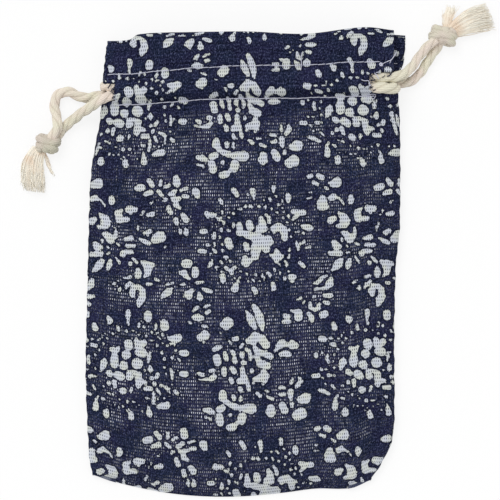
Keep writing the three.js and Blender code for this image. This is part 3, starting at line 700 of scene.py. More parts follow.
loose_petals = [
    [(197, 157.5, 4.5), (202, 158.5, 7), (206, 160, 4.5)], [(197.5, 165, 2.5), (203, 166, 3.5)],
    [(203, 166, 3), (203.5, 169, 1.8)], [(212, 164.5, 8), (213, 170, 8)], [(223, 163, 4.5)],
    [(235, 164.5, 9), (234, 168, 9)], [(231, 170, 4), (227, 173.5, 5)], [(226, 174.5, 8), (222, 175.5, 7)],
    [(196, 192, 8.5), (197.5, 196, 6)], [(233.5, 190, 5), (237, 195.5, 5)], [(248, 194.5, 2.7)],
    [(252.5, 190.5, 6), (253.3, 195, 4), (253.5, 199.5, 2.8)], [(263, 155.5, 7.5), (263, 160, 10)],
    [(289.5, 163, 10), (293.5, 161, 12)], [(308.5, 177, 5), (311, 176, 5)],
    [(318.5, 176, 6), (322, 177.5, 5.5)],
    [(313, 182.5, 3.5), (317, 184.3, 4.2)], [(324.5, 187.3, 2.2), (327.5, 189.2, 2.8)],
    [(332.5, 184, 7.5), (337, 181.5, 9)], [(337, 183, 9.5)], [(329.5, 183, 3), (333, 183.5, 6)],
]
ring_of_dots = [
    [(219.5, 199.5, 3), (221.5, 202, 4.5), (222, 204, 3)], [(207.5, 214, 6), (208.5, 216.5, 4)],
    [(207.5, 215, 6), (214.5, 215.2, 4.8)], [(217, 218.8, 2.5), (220, 219.5, 3.5)], [(221, 217.5, 2.5)],
    [(222.5, 210.8, 2.5), (222.5, 213.5, 2.8)], [(224, 223, 4.5)], [(237.5, 209, 2), (241.5, 209, 2.2)],
    [(245.5, 206.5, 4.3)], [(250.8, 206.5, 4.5)], [(258.8, 206.3, 3)],
    [(265, 205.8, 2.5), (265.5, 207.8, 3)],
    [(233.5, 213.3, 4)], [(228.2, 217, 2.2), (230, 217, 2.2)], [(236, 217, 1.5)], [(216, 224, 1.8)],
    [(201.5, 231.5, 5), (205.5, 231.5, 5)], [(208.5, 227.7, 2.5)], [(186.5, 229, 3), (186, 233, 6)],
    [(180.8, 227.5, 1.5), (180.5, 231, 4.5), (181, 235.5, 2)], [(214.5, 231.5, 2.5), (214, 237, 5)],
    [(212, 234.5, 2)], [(221.5, 229, 3), (222, 231.5, 3.3)], [(227.5, 230, 2.2), (230, 231.2, 3)],
    [(234, 223.5, 2.8), (232.8, 227, 3)], [(220.3, 237.5, 3.2)], [(228, 241, 7), (229.5, 245.5, 8)],
    [(221.8, 244, 3.3)], [(207, 245, 3), (209, 245, 3)], [(213.8, 243.2, 2.5), (215, 246, 2.5)],
    [(213.5, 249.8, 2.5), (216, 252.2, 3.8)], [(222.8, 250.3, 3.5)], [(199.5, 251, 4.2), (205, 251.2, 4.5)],
    [(211, 253, 1.8), (209.3, 255, 2.2)], [(224.5, 256.8, 2.5), (227, 257.5, 3.2)], [(226, 259.5, 1.8)],
    [(220, 261, 2), (222.5, 262.8, 3)], [(230.5, 261.3, 3.2)],
    [(212.3, 260, 2), (211, 264, 4.5), (208.5, 267, 2.2)],
    [(215.3, 267, 2), (218.5, 267, 2.8)], [(217, 269.5, 1.8)], [(225.8, 267.5, 3.5), (229.5, 270.5, 3.5)],
    [(229.5, 270.5, 4), (235.5, 267, 3.2)], [(231.5, 271.5, 5), (231.8, 273.5, 3.5)], [(236.8, 237.5, 1.7)],
    [(236.5, 241.5, 1.2), (238.5, 241.5, 1.2)], [(222.5, 276, 5.5), (223, 279.5, 6.5), (222.5, 283, 3)],
    [(222, 271.5, 3)], [(240, 278, 2.5), (237.5, 282, 2.5), (235.5, 286, 6)], [(234.8, 288.5, 8)],
    [(241, 271.3, 2.8)], [(247.3, 273.3, 2.8), (247.3, 275, 2)], [(255.5, 274.5, 3.4)],
    [(252.5, 279.3, 2), (254.5, 281.5, 2.2)], [(248.5, 281, 2.2)], [(243.3, 279.6, 1.5)],
    [(234.5, 278.5, 1.7)],
    [(259.3, 281, 2.6)], [(262.8, 274.3, 2.5), (262, 276.5, 2.8)],
    [(264.8, 277.5, 2.5), (264.8, 279.5, 2.5)],
    [(267.5, 273.3, 3), (269.3, 274, 3), (270.8, 277.3, 2.2)], [(253.8, 288.5, 4.5), (255.5, 292, 5)],
    [(272.8, 284, 4.5), (273.5, 288.5, 5.5)], [(284.3, 277, 3), (284.8, 279, 3.5)],
    [(280, 272.5, 2), (280.2, 274.5, 2)], [(289, 271, 2)], [(276.5, 280, 2)],
    [(291, 277, 6.5), (293, 277, 6.5)],
    [(292, 280.5, 5)], [(307, 279.5, 1.5)], [(264, 200, 2.7)], [(269.3, 198.5, 2.3), (270.8, 201, 2.8)],
    [(275.5, 197, 2), (277.5, 197, 2)], [(281.3, 199, 1.5), (282.3, 201.3, 2.8)], [(278.5, 205, 3.2)],
    [(282.5, 207.5, 2.5)], [(288, 215.5, 2.5), (288.5, 217.5, 2)], [(283.5, 217.5, 3.2)],
    [(286.5, 222.5, 2), (288.3, 222.3, 2)], [(294.8, 223, 2)], [(283.8, 211.5, 1.8), (285.5, 211.3, 1.8)],
    [(277, 212.5, 3.2)], [(271.3, 209, 3.2)], [(287.8, 195.5, 5.5), (288.2, 200, 6)],
    [(273.5, 187.5, 5), (273.5, 192.5, 3)], [(308, 193.2, 1.8), (311, 192.5, 1.8)],
    [(306.8, 198.8, 2.2), (311.5, 198, 2.2)],
]
medallion = [
    [(239.5, 223.5, 4.5), (240, 229, 6), (240, 232.5, 8)], [(249, 223.5, 7), (250, 227.5, 7.5)],
    [(239.5, 232.5, 4), (246, 234, 7), (252, 236, 8)],
    [(261, 218.5, 5), (262.5, 223, 7), (262.5, 228.5, 9.5)],
    [(258, 227, 4), (258.5, 232, 6)], [(246, 235.5, 6), (256, 237, 9)], [(256, 237, 10), (262, 240, 10)],
    [(268, 239, 8), (268.5, 241.5, 10)], [(256.5, 245, 10), (257, 249, 10)], [(264, 246, 9), (266, 249, 8)],
    [(255.5, 252, 9), (255.5, 256.5, 8)], [(246, 245, 6), (246.8, 248.5, 6.5)],
    [(245, 258, 5.5), (246, 262, 10)], [(246, 262, 9), (251, 260, 5)],
    [(274, 228.5, 7.5), (279, 226.5, 8), (284, 230, 7)], [(274, 231.5, 5)],
    [(284, 231, 8), (284.5, 238, 6.5)],
    [(288.5, 230, 4)], [(276.5, 250, 4), (277, 256, 11)], [(270.5, 255, 3), (275, 256, 6)],
    [(276.5, 261, 5)],
    [(282, 256, 4)], [(266, 214.5, 2.5), (269, 218, 3.5), (269, 222.5, 4)],
    [(285, 261.5, 2.5), (286.5, 264, 3.5), (286.5, 266, 2)], [(278.5, 264.5, 2), (281, 264.8, 2.5)],
    [(280, 266.5, 1.8)], [(273.8, 268.3, 2), (275, 271, 2.2)], [(289.8, 248.5, 2), (289, 251, 3)],
    [(289.5, 254.5, 2.5), (288.5, 257.5, 3.5)], [(293, 211.5, 5), (297, 213, 7)],
    [(297, 213, 6.5), (303.5, 212.8, 6)], [(297, 215.5, 5), (292.5, 219.5, 3)],
    [(300.8, 225, 1.5), (303, 226.5, 4.5), (308, 227.5, 7.5), (311, 228, 5)],
    [(295, 232.3, 1.8), (298.5, 231.3, 2.2)], [(303.3, 233, 3.2)], [(291, 237, 2.7)],
    [(296.3, 241.5, 2), (297, 245, 3)], [(304.5, 241, 3.2), (299, 245, 3)],
    [(298, 245.5, 4), (297.8, 249.5, 3)],
    [(305.5, 248, 2.5), (310, 247, 3.2)], [(298.5, 258, 1.5), (300.5, 256.3, 1.5)],
    [(300, 263, 4), (304, 266.5, 4)],
]
plumed_blossom = [
    [(193.5, 317.5, 4), (198, 317.3, 8), (202.5, 317.8, 4.5)], [(210.5, 310.5, 3), (206.5, 312.5, 4.5)],
    [(210, 304.8, 2.5), (206, 306.3, 3), (203.3, 307.8, 1.8)],
    [(198, 306.3, 3), (195.5, 309, 4.5), (193, 311, 2)],
    [(188.5, 322, 2.2), (191.5, 322.8, 3)], [(202, 325.3, 2), (206, 326.3, 3), (208.3, 327, 2)],
    [(201, 337, 8), (205, 335, 10)], [(204, 341.5, 3)], [(223, 324.5, 6.5), (227.5, 322.5, 12)],
    [(226, 326, 8)], [(227.5, 330.8, 1.2)], [(215.5, 330.5, 1), (221, 333, 1.8)],
    [(233.5, 338.5, 4), (237, 338.5, 5.5)], [(227.8, 338.8, 1.2), (230.5, 342, 2.3), (231.5, 344.5, 1.5)],
    [(243, 344, 3.5), (240.5, 346.5, 4)], [(213.5, 349.5, 3.5), (217, 348, 6), (220.5, 346.5, 4.5)],
    [(232.5, 351, 4.5), (234, 354, 4.5)], [(234, 356, 3.5), (235, 361, 5.5)],
    [(225, 352, 3), (226, 356.5, 5.5), (227, 359.5, 4)], [(216.5, 357.5, 8), (218, 362, 8)],
    [(242, 353.5, 5.5), (242, 355.5, 5.5)], [(246.5, 349, 4.5), (249, 351, 4)],
    [(249.5, 353, 3.5), (251, 356.5, 4.5), (250, 359.5, 3.5)], [(242.5, 362.5, 4), (245, 362.5, 4.5)],
    [(198.5, 372.8, 3), (202.5, 374.5, 5)], [(210.5, 370.5, 4.5), (213.5, 370, 4.5)],
    [(213.5, 372.5, 2), (213.8, 376, 4)], [(212.5, 377.5, 6), (215, 376, 4.5)],
    [(212, 378.5, 4.5), (206, 379, 3), (200, 378.8, 2.2), (197, 378.2, 1.5)],
    [(224, 369, 5.5), (224.5, 374, 5.5)], [(232, 368, 5.5), (234, 371.5, 5.5)],
    [(242.5, 368.5, 5.5), (243, 374, 5.5)], [(243, 374, 6), (244, 378.5, 9)],
    [(240, 380.5, 7.5), (246, 380.5, 6)],
    [(247, 382, 4), (248.5, 387, 4), (249, 390, 3.5)], [(252, 370.5, 5)],
    [(230.5, 378.5, 4.5), (232, 381.5, 5.5)],
    [(239.8, 387.5, 4), (240.5, 389.8, 5)], [(243.5, 391, 2.5)], [(233.8, 396, 5), (234.2, 398.5, 5)],
    [(240.8, 396, 2.5), (240.8, 400, 3.5)], [(222.5, 393, 7), (223, 397, 8.5)],
    [(225, 400, 6), (229, 404, 5)],
    [(229, 404, 5), (236, 406.5, 7)], [(240, 407.5, 6), (250, 407.5, 9)],
    [(247.5, 408.5, 9.5), (251.5, 408.5, 10.5)],
    [(219.5, 409, 7.5), (223, 407.5, 7)],
    [(254, 306, 5), (257, 311, 7), (260, 318, 8), (261.5, 324, 6.5), (262, 329, 4)],
    [(246.8, 311.5, 3), (249.5, 317, 7), (252, 322, 8), (255, 327.5, 4.5)],
    [(255, 334, 5.5), (253, 340, 10)],
    [(249, 340.5, 7), (254, 338, 10)], [(258, 335.5, 6), (262, 339, 9), (266, 344.5, 9)],
    [(254.5, 347, 4.5), (258, 352, 7)], [(258, 352, 7), (266, 354, 6)], [(266, 354, 6.5), (271, 356.5, 6)],
    [(257, 357, 5), (260, 363, 8)], [(260, 363, 8), (267, 365.5, 8)], [(264, 370, 5), (263, 376, 9)],
    [(255, 379, 6), (262, 377.5, 9)], [(265, 376, 9), (265, 381, 5)], [(254, 383, 3)], [(263.5, 384, 2.5)],
    [(262.5, 330.5, 2.2)], [(275, 351, 2.5), (278.5, 346, 6.5), (282, 343, 8.5)], [(287, 344.5, 5)],
    [(292, 344.5, 9.5), (294.5, 345, 8)], [(280, 354, 4.5), (285, 353.3, 7), (289.5, 354, 4.5)],
    [(280, 387.3, 4), (284, 387.3, 4)], [(280, 394.3, 3.8), (284, 393.5, 4)],
    [(292.3, 378.3, 2.5), (291.2, 382.5, 4)],
    [(299.3, 377.5, 2.5), (300.5, 381, 5), (297.5, 384.5, 5), (295.5, 387, 3)],
    [(290.5, 391, 6), (290.3, 396.5, 5), (290.5, 399, 4)], [(257, 392.5, 3.5), (260, 395.5, 4.5)],
    [(265.5, 390.7, 2.5), (269, 391.2, 2.3)], [(268, 396.8, 3.5), (273, 399, 3.5)],
    [(300.5, 399.5, 7.5), (305, 398, 11.5)], [(308.5, 396.5, 6)], [(282, 405, 7.5), (284.5, 410, 8)],
    [(292, 403.8, 4.5), (292, 406, 3.8)],
]
trailing_stem = [
    [(322.5, 198.5, 7), (322, 203, 11)], [(320, 207, 7), (325.5, 207, 7)],
    [(330.5, 220.5, 7.5), (333.5, 218.5, 6)],
    [(331, 198, 6.5), (334, 196.5, 6)],
    [(335, 197.5, 4), (339, 198.5, 2.5), (343, 203, 2), (344, 205.3, 1.5)],
    [(338.5, 213, 3), (343, 217, 8)], [(344, 218, 9), (344.5, 223, 10)], [(337.5, 226, 4), (344, 225, 6)],
    [(349, 220, 3)], [(342.5, 232.5, 4), (346, 234, 7)], [(346, 234, 7), (349.5, 238.5, 9)],
    [(349.5, 241, 5)],
    [(351, 238, 7), (354.5, 236, 4)], [(354.5, 236, 4), (355, 231, 3.2), (354, 227, 2)],
    [(341.3, 238.5, 2.8), (341.5, 241, 3.2)], [(334, 242.5, 5.5), (336.5, 246, 8)],
    [(336.5, 246, 7), (340, 246.5, 4.5)],
    [(336.5, 249, 3), (336, 252, 4)], [(330, 253.3, 5), (340, 253, 5.5)],
    [(346.3, 245.7, 2), (348, 246.8, 2.2)],
    [(346.2, 253.3, 2.2), (349.3, 251.5, 2.5)],
    [(341.5, 260, 4.5), (338.5, 263.5, 8.5), (335, 267.5, 6), (332.5, 269.5, 4)],
    [(349.5, 259.5, 4), (348.3, 263.5, 6.5), (347, 267.5, 4)], [(326.5, 271.5, 2.2)],
    [(313, 297, 2.5), (315, 296, 3)], [(297, 299.3, 1.8), (300.3, 297.8, 3), (302, 297.5, 2)],
    [(305, 301, 2), (302.5, 303, 2.3)], [(326, 275.8, 3), (322, 277, 3.5)],
    [(322, 277.5, 3.5), (320, 280, 5), (317.5, 282.5, 4.5), (314, 283.3, 2.5)],
    [(331, 279, 4.5), (329.5, 283.5, 8), (327, 286.5, 6)],
    [(326, 288, 4), (318, 288.8, 3), (314, 289.3, 2.5)],
    [(324.5, 295.3, 4.5), (329, 295.5, 5.5), (333, 295.3, 3)], [(323.5, 301.8, 3), (327.5, 303, 5)],
    [(310, 303, 3), (310.5, 307.5, 4.5), (314.5, 310, 3.5), (318.5, 308, 4.5), (319, 304, 4)],
    [(322, 315, 7), (325, 313.5, 7.5)], [(308.5, 313, 3.5), (310.5, 316, 6), (311.5, 320, 5)],
    [(292, 311, 3), (297, 311.5, 4.5)], [(298.5, 313, 8), (298.5, 317, 9)],
    [(284, 315.5, 4), (289, 315.5, 4)],
    [(287, 317, 4.5), (287, 320, 4.5)], [(283.5, 321.8, 3.5), (289.5, 321.5, 3.8)],
    [(347, 316.5, 4), (349, 319.5, 7), (349, 322, 4)], [(333, 323.5, 4.5), (334.5, 327, 6.5)],
]
by_the_edges = [
    [(94.5, 143, 2.5), (93.8, 150, 3.5), (93, 155.5, 2)],
    [(397.5, 113, 3.5), (399.5, 123, 4), (400.5, 134, 3.5)],
]
curled_leaves = [
    [(153.5, 392, 2.5), (154, 397, 3.5), (153.5, 403, 3.5)],
    [(161, 385, 2.5), (166, 387, 3), (168.5, 388.5, 3.5), (169, 392, 2), (169.5, 397, 1.5)],
    [(157, 388.5, 2.5), (158.5, 391, 3.5), (161, 394, 2.5)],
]
repeating_shapes = (berry_cluster + scattered_dots + leaf_spray + budding_branch + loose_petals
                    + ring_of_dots + medallion + plumed_blossom + trailing_stem)


def print_depths(pattern_x, pattern_y, on_front):
    """How far each place lies inside the nearest printed shape, in millimetres, and below 0 outside, for
    three sets of shapes, so that two that nearly touch are in different sets and stay apart. The channel
    gathers the cloth of the front a little, so its print is squeezed towards the middle there."""
    x = pattern_x * PIXELS_PER_MM + PHOTO_ORIGIN[0]
    y = PHOTO_ORIGIN[1] - pattern_y * PIXELS_PER_MM
    if on_front:
        squeeze = mix(5.0 + 3.0 * (1 - ramp(*HEADER_ROWS, y)), -6.0, ramp(*SQUEEZE_COLUMNS, x))
        x = x - squeeze * (1 - ramp(*SQUEEZE_ROWS, y))
        y = y - 2 * (1 - ramp(*RAISED_ROWS, y))
    x, y = x.ravel(), y.ravel()
    depths = np.full((3, len(x)), -5.0)
    low_x, high_x, low_y, high_y = x.min(), x.max(), y.min(), y.max()
    all_over = [(i, j) for i in range(-2, 3) for j in range(-4, 5)]
    shapes = [(dabs, all_over) for dabs in repeating_shapes]
    shapes += [(dabs, [place for place in all_over if place[0] < 1]) for dabs in curled_leaves]
    shapes += [(dabs, [(0, 0)]) for dabs in by_the_edges if on_front]
    for number, (dabs, repeats) in enumerate(shapes):
        depth = depths[number % 3]
        for start, end in zip(dabs, dabs[1:] or dabs):
            way_x, way_y = end[0] - start[0], end[1] - start[1]
            length = way_x ** 2 + way_y ** 2
            reach = max(start[2], end[2]) / 2 + 4
            for i, j in repeats:
                left = start[0] + i * PRINT_ACROSS[0] + j * PRINT_ALONG[0]
                up = start[1] + i * PRINT_ACROSS[1] + j * PRINT_ALONG[1]
                if not (low_x - 12 < left < high_x + 12 and low_y - 12 < up < high_y + 12):
                    continue
                near = np.nonzero((np.abs(x - left - way_x / 2) < reach + abs(way_x) / 2)
                                  & (np.abs(y - up - way_y / 2) < reach + abs(way_y) / 2))[0]
                if not len(near):
                    continue
                from_x, from_y = x[near] - left, y[near] - up
                share = np.clip((from_x * way_x + from_y * way_y) / max(length, 1e-6), 0, 1)
                away = np.hypot(from_x - share * way_x, from_y - share * way_y)
                inside = mix(start[2], end[2], share) / 2 - away
                nearest = np.argmin(np.hypot(from_x, from_y))
                if start[2] < 4 and inside[nearest] > 0:
                    inside[nearest] = start[2] / 2
                depth[near] = np.maximum(depth[near], inside)
    return depths.T / PIXELS_PER_MM - 0.04


# Printed cotton sheeting: a matt, coarse weave of about 15 warp and 9 weft threads a centimetre with open
# holes between them. Where the cloth is single, the pale table shows through the holes in small patches
# where the threads of front and back leave the same gaps. The threads are uneven and the print is ragged.
WARP_PITCH = 0.69
WEFT_PITCH = 1.12


def weave_nodes(tree, uv):
    """The weave and its print: a chance value for each hole, how far into one a place is, uneven threads,
    and how far a place is inside a printed shape."""
    wander = add_node(tree, "ShaderNodeTexNoise", {"Vector": uv, "Scale": 0.09, "Detail": 2.0}, output=1)
    shifted = add_node(tree, "ShaderNodeVectorMath", {0: wander, 1: (1.2, 0.8, 0.0), 2: uv},
                       operation="MULTIPLY_ADD")
    cells = add_node(tree, "ShaderNodeVectorMath", {0: shifted, 1: (1 / WARP_PITCH, 1 / WEFT_PITCH, 0.0)},
                     operation="MULTIPLY")
    number = add_node(tree, "ShaderNodeVectorMath", {0: cells}, operation="FLOOR")
    cell_chance = add_node(tree, "ShaderNodeTexWhiteNoise", {"Vector": number}, noise_dimensions="3D")
    inside = add_node(tree, "ShaderNodeVectorMath", {0: cells}, operation="FRACTION")
    inside = add_node(tree, "ShaderNodeVectorMath", {0: inside, 1: (0.5, 0.5, 0.0)}, operation="SUBTRACT")
    inside = add_node(tree, "ShaderNodeVectorMath", {0: inside}, operation="ABSOLUTE")
    split = add_node(tree, "ShaderNodeSeparateXYZ", [inside]).node
    wide = add_node(tree, "ShaderNodeMapRange", {0: split.outputs[0], 1: 0.11, 2: 0.23, 3: 1.0, 4: 0.0})
    tall = add_node(tree, "ShaderNodeMapRange", {0: split.outputs[1], 1: 0.15, 2: 0.32, 3: 1.0, 4: 0.0})
    hole = add_node(tree, "ShaderNodeMath", [wide, tall], operation="MULTIPLY")
    streaks = []
    for stretch in ((1.0, 0.07, 0.0), (0.06, 1.0, 0.0)):
        along = add_node(tree, "ShaderNodeVectorMath", {0: cells, 1: stretch}, operation="MULTIPLY")
        streaks.append(add_node(tree, "ShaderNodeTexNoise", {"Vector": along, "Scale": 1.0, "Detail": 2.0}))
    threads = add_node(tree, "ShaderNodeMath", streaks, operation="ADD")
    printed_sets = add_node(tree, "ShaderNodeAttribute", [], output=1, attribute_name="print")
    sets = add_node(tree, "ShaderNodeSeparateXYZ", [printed_sets]).node
    depth = add_node(tree, "ShaderNodeMath", [sets.outputs[0], sets.outputs[1]], operation="MAXIMUM")
    depth = add_node(tree, "ShaderNodeMath", [depth, sets.outputs[2]], operation="MAXIMUM")
    return cell_chance, hole, threads, depth


printed_cotton, tree = new_material("printed_cotton_sheeting")
uv = add_node(tree, "ShaderNodeUVMap", [], uv_map="weave")
daylight = add_node(tree, "ShaderNodeAttribute", [], output=2, attribute_name="daylight")
cell_chance, hole, threads, depth = weave_nodes(tree, uv)
ragged = add_node(tree, "ShaderNodeMapRange", {0: cell_chance, 1: 0.0, 2: 1.0, 3: -0.15, 4: 0.15})
edge = add_node(tree, "ShaderNodeMath", [depth, ragged], operation="ADD")
printed = add_node(tree, "ShaderNodeMapRange", {0: edge, 1: -0.06, 2: 0.06, 3: 0.0, 4: 1.0})
thread_share = add_node(tree, "ShaderNodeMapRange", {0: threads, 1: 0.72, 2: 1.28, 3: 0.0, 4: 1.0})
dye = add_node(tree, "ShaderNodeTexNoise", {"Vector": uv, "Scale": 0.11, "Detail": 3.0})
dye = add_node(tree, "ShaderNodeMapRange", {0: dye, 1: 0.4, 2: 0.6, 3: 0.0, 4: 1.0})
deep_navy = add_node(tree, "ShaderNodeMix", {0: dye, 6: colour("#0a0f1e"), 7: colour("#0e0f25")}, output=2,
                     data_type="RGBA")
pale_navy = add_node(tree, "ShaderNodeMix", {0: dye, 6: colour("#212a44"), 7: colour("#262746")}, output=2,
                     data_type="RGBA")
navy = add_node(tree, "ShaderNodeMix", {0: thread_share, 6: deep_navy, 7: pale_navy}, output=2,
                data_type="RGBA")
# Painted highlights: small lighter spots, as on thread crossings that catch the light.
glint_noise = add_node(tree, "ShaderNodeTexNoise", {"Vector": uv, "Scale": 1.6, "Detail": 2.0, "Roughness": 0.7})
crossing_glint = add_node(tree, "ShaderNodeMapRange", {0: glint_noise, 1: 0.5, 2: 0.7, 3: 0.0, 4: 0.75})
navy = add_node(tree, "ShaderNodeMix", {0: crossing_glint, 6: navy, 7: colour("#5c6284")}, output=2, data_type="RGBA")
# Painted shade: the holes of the weave are darkened.
hole_shade = add_node(tree, "ShaderNodeMath", [hole, 0.8], operation="MULTIPLY")
navy = add_node(tree, "ShaderNodeMix", {0: hole_shade, 6: navy, 7: colour("#090b14")}, output=2,
                data_type="RGBA")
# The dye is deepest round the printed shapes, and the threads there are packed and leave no gaps.
rim = add_node(tree, "ShaderNodeMapRange", {0: depth, 1: -0.6, 2: -0.15, 3: 0.0, 4: 0.55})
navy = add_node(tree, "ShaderNodeMix", {0: rim, 6: navy, 7: colour("#0d101f")}, output=2, data_type="RGBA")
# Painted light: in patches of the single cloth, holes are coloured pale for the white table seen through
# both layers.
patches = add_node(tree, "ShaderNodeTexNoise", {"Vector": uv, "Scale": 0.1, "Detail": 3.0, "Roughness": 0.6})
gaps = add_node(tree, "ShaderNodeMath", [threads, -0.25, patches], operation="MULTIPLY_ADD")
gaps = add_node(tree, "ShaderNodeMapRange", {0: gaps, 1: 0.19, 2: 0.39, 3: 0.0, 4: 1.0})
apart = add_node(tree, "ShaderNodeMapRange", {0: depth, 1: -0.65, 2: -0.3, 3: 1.0, 4: 0.0})
gaps = add_node(tree, "ShaderNodeMath", [gaps, apart], operation="MULTIPLY")
cell_share = add_node(tree, "ShaderNodeMapRange", {0: cell_chance, 1: 0.1, 2: 0.8, 3: 0.1, 4: 1.0})
seen = add_node(tree, "ShaderNodeMath", [gaps, daylight], operation="MULTIPLY")
seen = add_node(tree, "ShaderNodeMath", [seen, cell_share], operation="MULTIPLY")
seen = add_node(tree, "ShaderNodeMath", [seen, hole], operation="MULTIPLY")
navy = add_node(tree, "ShaderNodeMix", {0: seen, 6: navy, 7: colour("#f2f5ff")}, output=2, data_type="RGBA")
tint = add_node(tree, "ShaderNodeTexNoise", {"Vector": uv, "Scale": 0.3, "Detail": 2.0})
tint = add_node(tree, "ShaderNodeMapRange", {0: tint, 1: 0.42, 2: 0.62, 3: 0.0, 4: 1.0})
pale = add_node(tree, "ShaderNodeMix", {0: tint, 6: colour("#ced3dd"), 7: colour("#d5d9d2")}, output=2,
                data_type="RGBA")
faded = add_node(tree, "ShaderNodeMapRange", {0: threads, 1: 0.72, 2: 1.2, 3: 0.22, 4: 0.0})
pale = add_node(tree, "ShaderNodeMix", {0: faded, 6: pale, 7: colour("#9aa0ae")}, output=2, data_type="RGBA")
# Painted shade: the holes inside the printed shapes are darkened.
print_hole_shade = add_node(tree, "ShaderNodeMapRange", {0: cell_chance, 1: 0.0, 2: 0.7, 3: 0.5, 4: 1.0})
full_hole = add_node(tree, "ShaderNodeMath", [hole, 0.6], operation="POWER")
print_hole_shade = add_node(tree, "ShaderNodeMath", [print_hole_shade, full_hole], operation="MULTIPLY")
pale = add_node(tree, "ShaderNodeMix", {0: print_hole_shade, 6: pale, 7: colour("#272c41")}, output=2, data_type="RGBA")
cloth_colour = add_node(tree, "ShaderNodeMix", {0: printed, 6: navy, 7: pale}, output=2, data_type="RGBA")
relief = add_node(tree, "ShaderNodeMath", [threads, hole], operation="SUBTRACT")
bumped = add_node(tree, "ShaderNodeBump", {"Strength": 0.35, "Distance": 0.00015, "Height": relief})
surface = add_node(tree, "ShaderNodeBsdfPrincipled", {
    "Base Color": cloth_colour, "Roughness": 0.95, "Specular IOR Level": 0.04, "Normal": bumped})
tree.links.new(surface, tree.nodes.new("ShaderNodeOutputMaterial").inputs[0])

# The reverse of the same cloth: the dye has come through, but duller and paler, and the print shows as
# a faint ghost.
cloth_reverse, tree = new_material("reverse_of_printed_cotton")
uv = add_node(tree, "ShaderNodeUVMap", [], uv_map="weave")
cell_chance, hole, threads, depth = weave_nodes(tree, uv)
printed = add_node(tree, "ShaderNodeMapRange", {0: depth, 1: -0.3, 2: 0.3, 3: 0.0, 4: 0.5})
dull = add_node(tree, "ShaderNodeMix", {0: cell_chance, 6: colour("#33384f"), 7: colour("#454a62")},
                output=2, data_type="RGBA")
dull = add_node(tree, "ShaderNodeMix", {0: printed, 6: dull, 7: colour("#9398a3")},
                output=2, data_type="RGBA")
# Painted shade: the holes of the weave are darkened here too.
hole_shade = add_node(tree, "ShaderNodeMath", [hole, 0.6], operation="MULTIPLY")
dull = add_node(tree, "ShaderNodeMix", {0: hole_shade, 6: dull, 7: colour("#1c2031")},
                output=2, data_type="RGBA")
relief = add_node(tree, "ShaderNodeMath", [threads, hole], operation="SUBTRACT")
bumped = add_node(tree, "ShaderNodeBump", {"Strength": 0.4, "Distance": 0.00015, "Height": relief})
surface = add_node(tree, "ShaderNodeBsdfPrincipled", {
    "Base Color": dull, "Roughness": 0.95, "Specular IOR Level": 0.2, "Normal": bumped})
tree.links.new(surface, tree.nodes.new("ShaderNodeOutputMaterial").inputs[0])


def cloth_half(name, is_front):
    """One half of the strip as a grid, cut away at the slits and given its thickness."""
    made = half_places(is_front)
    rows, columns = made["x"].shape
    i, j = [index.ravel() for index in np.indices((rows - 1, columns - 1))]
    corners = [i * columns + j, (i + 1) * columns + j, (i + 1) * columns + j + 1, i * columns + j + 1]
    corners = np.stack(corners, axis=1)[:, ::1 if is_front else -1]
    kind = np.broadcast_to(made["kind"], made["x"].shape).ravel()[corners]
    v, x = made["v"].ravel()[corners].mean(axis=1), made["x"].ravel()[corners].mean(axis=1)
    cut_layers = (kind != 1).all(axis=1) if is_front else (kind == 0).all(axis=1)
    left_slit = (x < LEFT_SLIT) & (v > 1.04) & (v < 1.76)
    right_slit = (x > RIGHT_SLIT - 0.5 + 6 * (v - 1.4) ** 2) & (v > 1.07) & (v < 1.66 + 0.02 * (x - 41))
    slit = cut_layers & (left_slit | right_slit)
    corners = corners[~slit]
    mesh = bpy.data.meshes.new(name)
    mesh.from_pydata((made["at"].reshape(-1, 3) * MM).tolist(), [], corners.tolist())
    strip = made["strip"].reshape(-1, 2)[corners.ravel()]
    mesh.uv_layers.new(name="weave").data.foreach_set("uv", strip.ravel())
    printed = print_depths(*made["print"], is_front)
    mesh.attributes.new("print", "FLOAT_VECTOR", "POINT").data.foreach_set("vector", printed.ravel())
    daylight = np.broadcast_to(made["daylight"], made["x"].shape).ravel().astype(np.float32)
    mesh.attributes.new("daylight", "FLOAT", "POINT").data.foreach_set("value", daylight)
    mesh.shade_smooth()
    mesh.materials.append(printed_cotton)
    mesh.materials.append(cloth_reverse)
    piece = bpy.data.objects.new(name, mesh)
    bpy.context.scene.collection.objects.link(piece)
    bpy.context.view_layer.objects.active = piece
    piece.select_set(True)
    bpy.ops.object.mode_set(mode="EDIT")
    bpy.ops.mesh.select_all(action="SELECT")
    bpy.ops.mesh.delete_loose()
    bpy.ops.object.mode_set(mode="OBJECT")
    thick = piece.modifiers.new("thickness", "SOLIDIFY")
    thick.thickness = DRAWN_CLOTH * MM
    thick.offset = -1
    thick.material_offset = 1
    bpy.ops.object.modifier_apply(modifier="thickness")
    # The thickness spikes out at the doubled corners of the top fold, so it is laid level with the fold.
    at = np.empty(3 * len(piece.data.vertices))
    piece.data.vertices.foreach_get("co", at)
    at = at.reshape(-1, 3) / MM
    top = height_of_line(at[:, 0], np.full(len(at), 3.0)) - (0 if is_front else back_drop(at[:, 0], 3))
    at[:, 1] = np.minimum(at[:, 1], top)
    piece.data.vertices.foreach_set("co", (at * MM).ravel())
    piece.select_set(False)
    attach(piece, "root")
    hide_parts("pouch_cloth")
    return piece


cloth_half("cloth_front", True)
cloth_half("cloth_back", False)

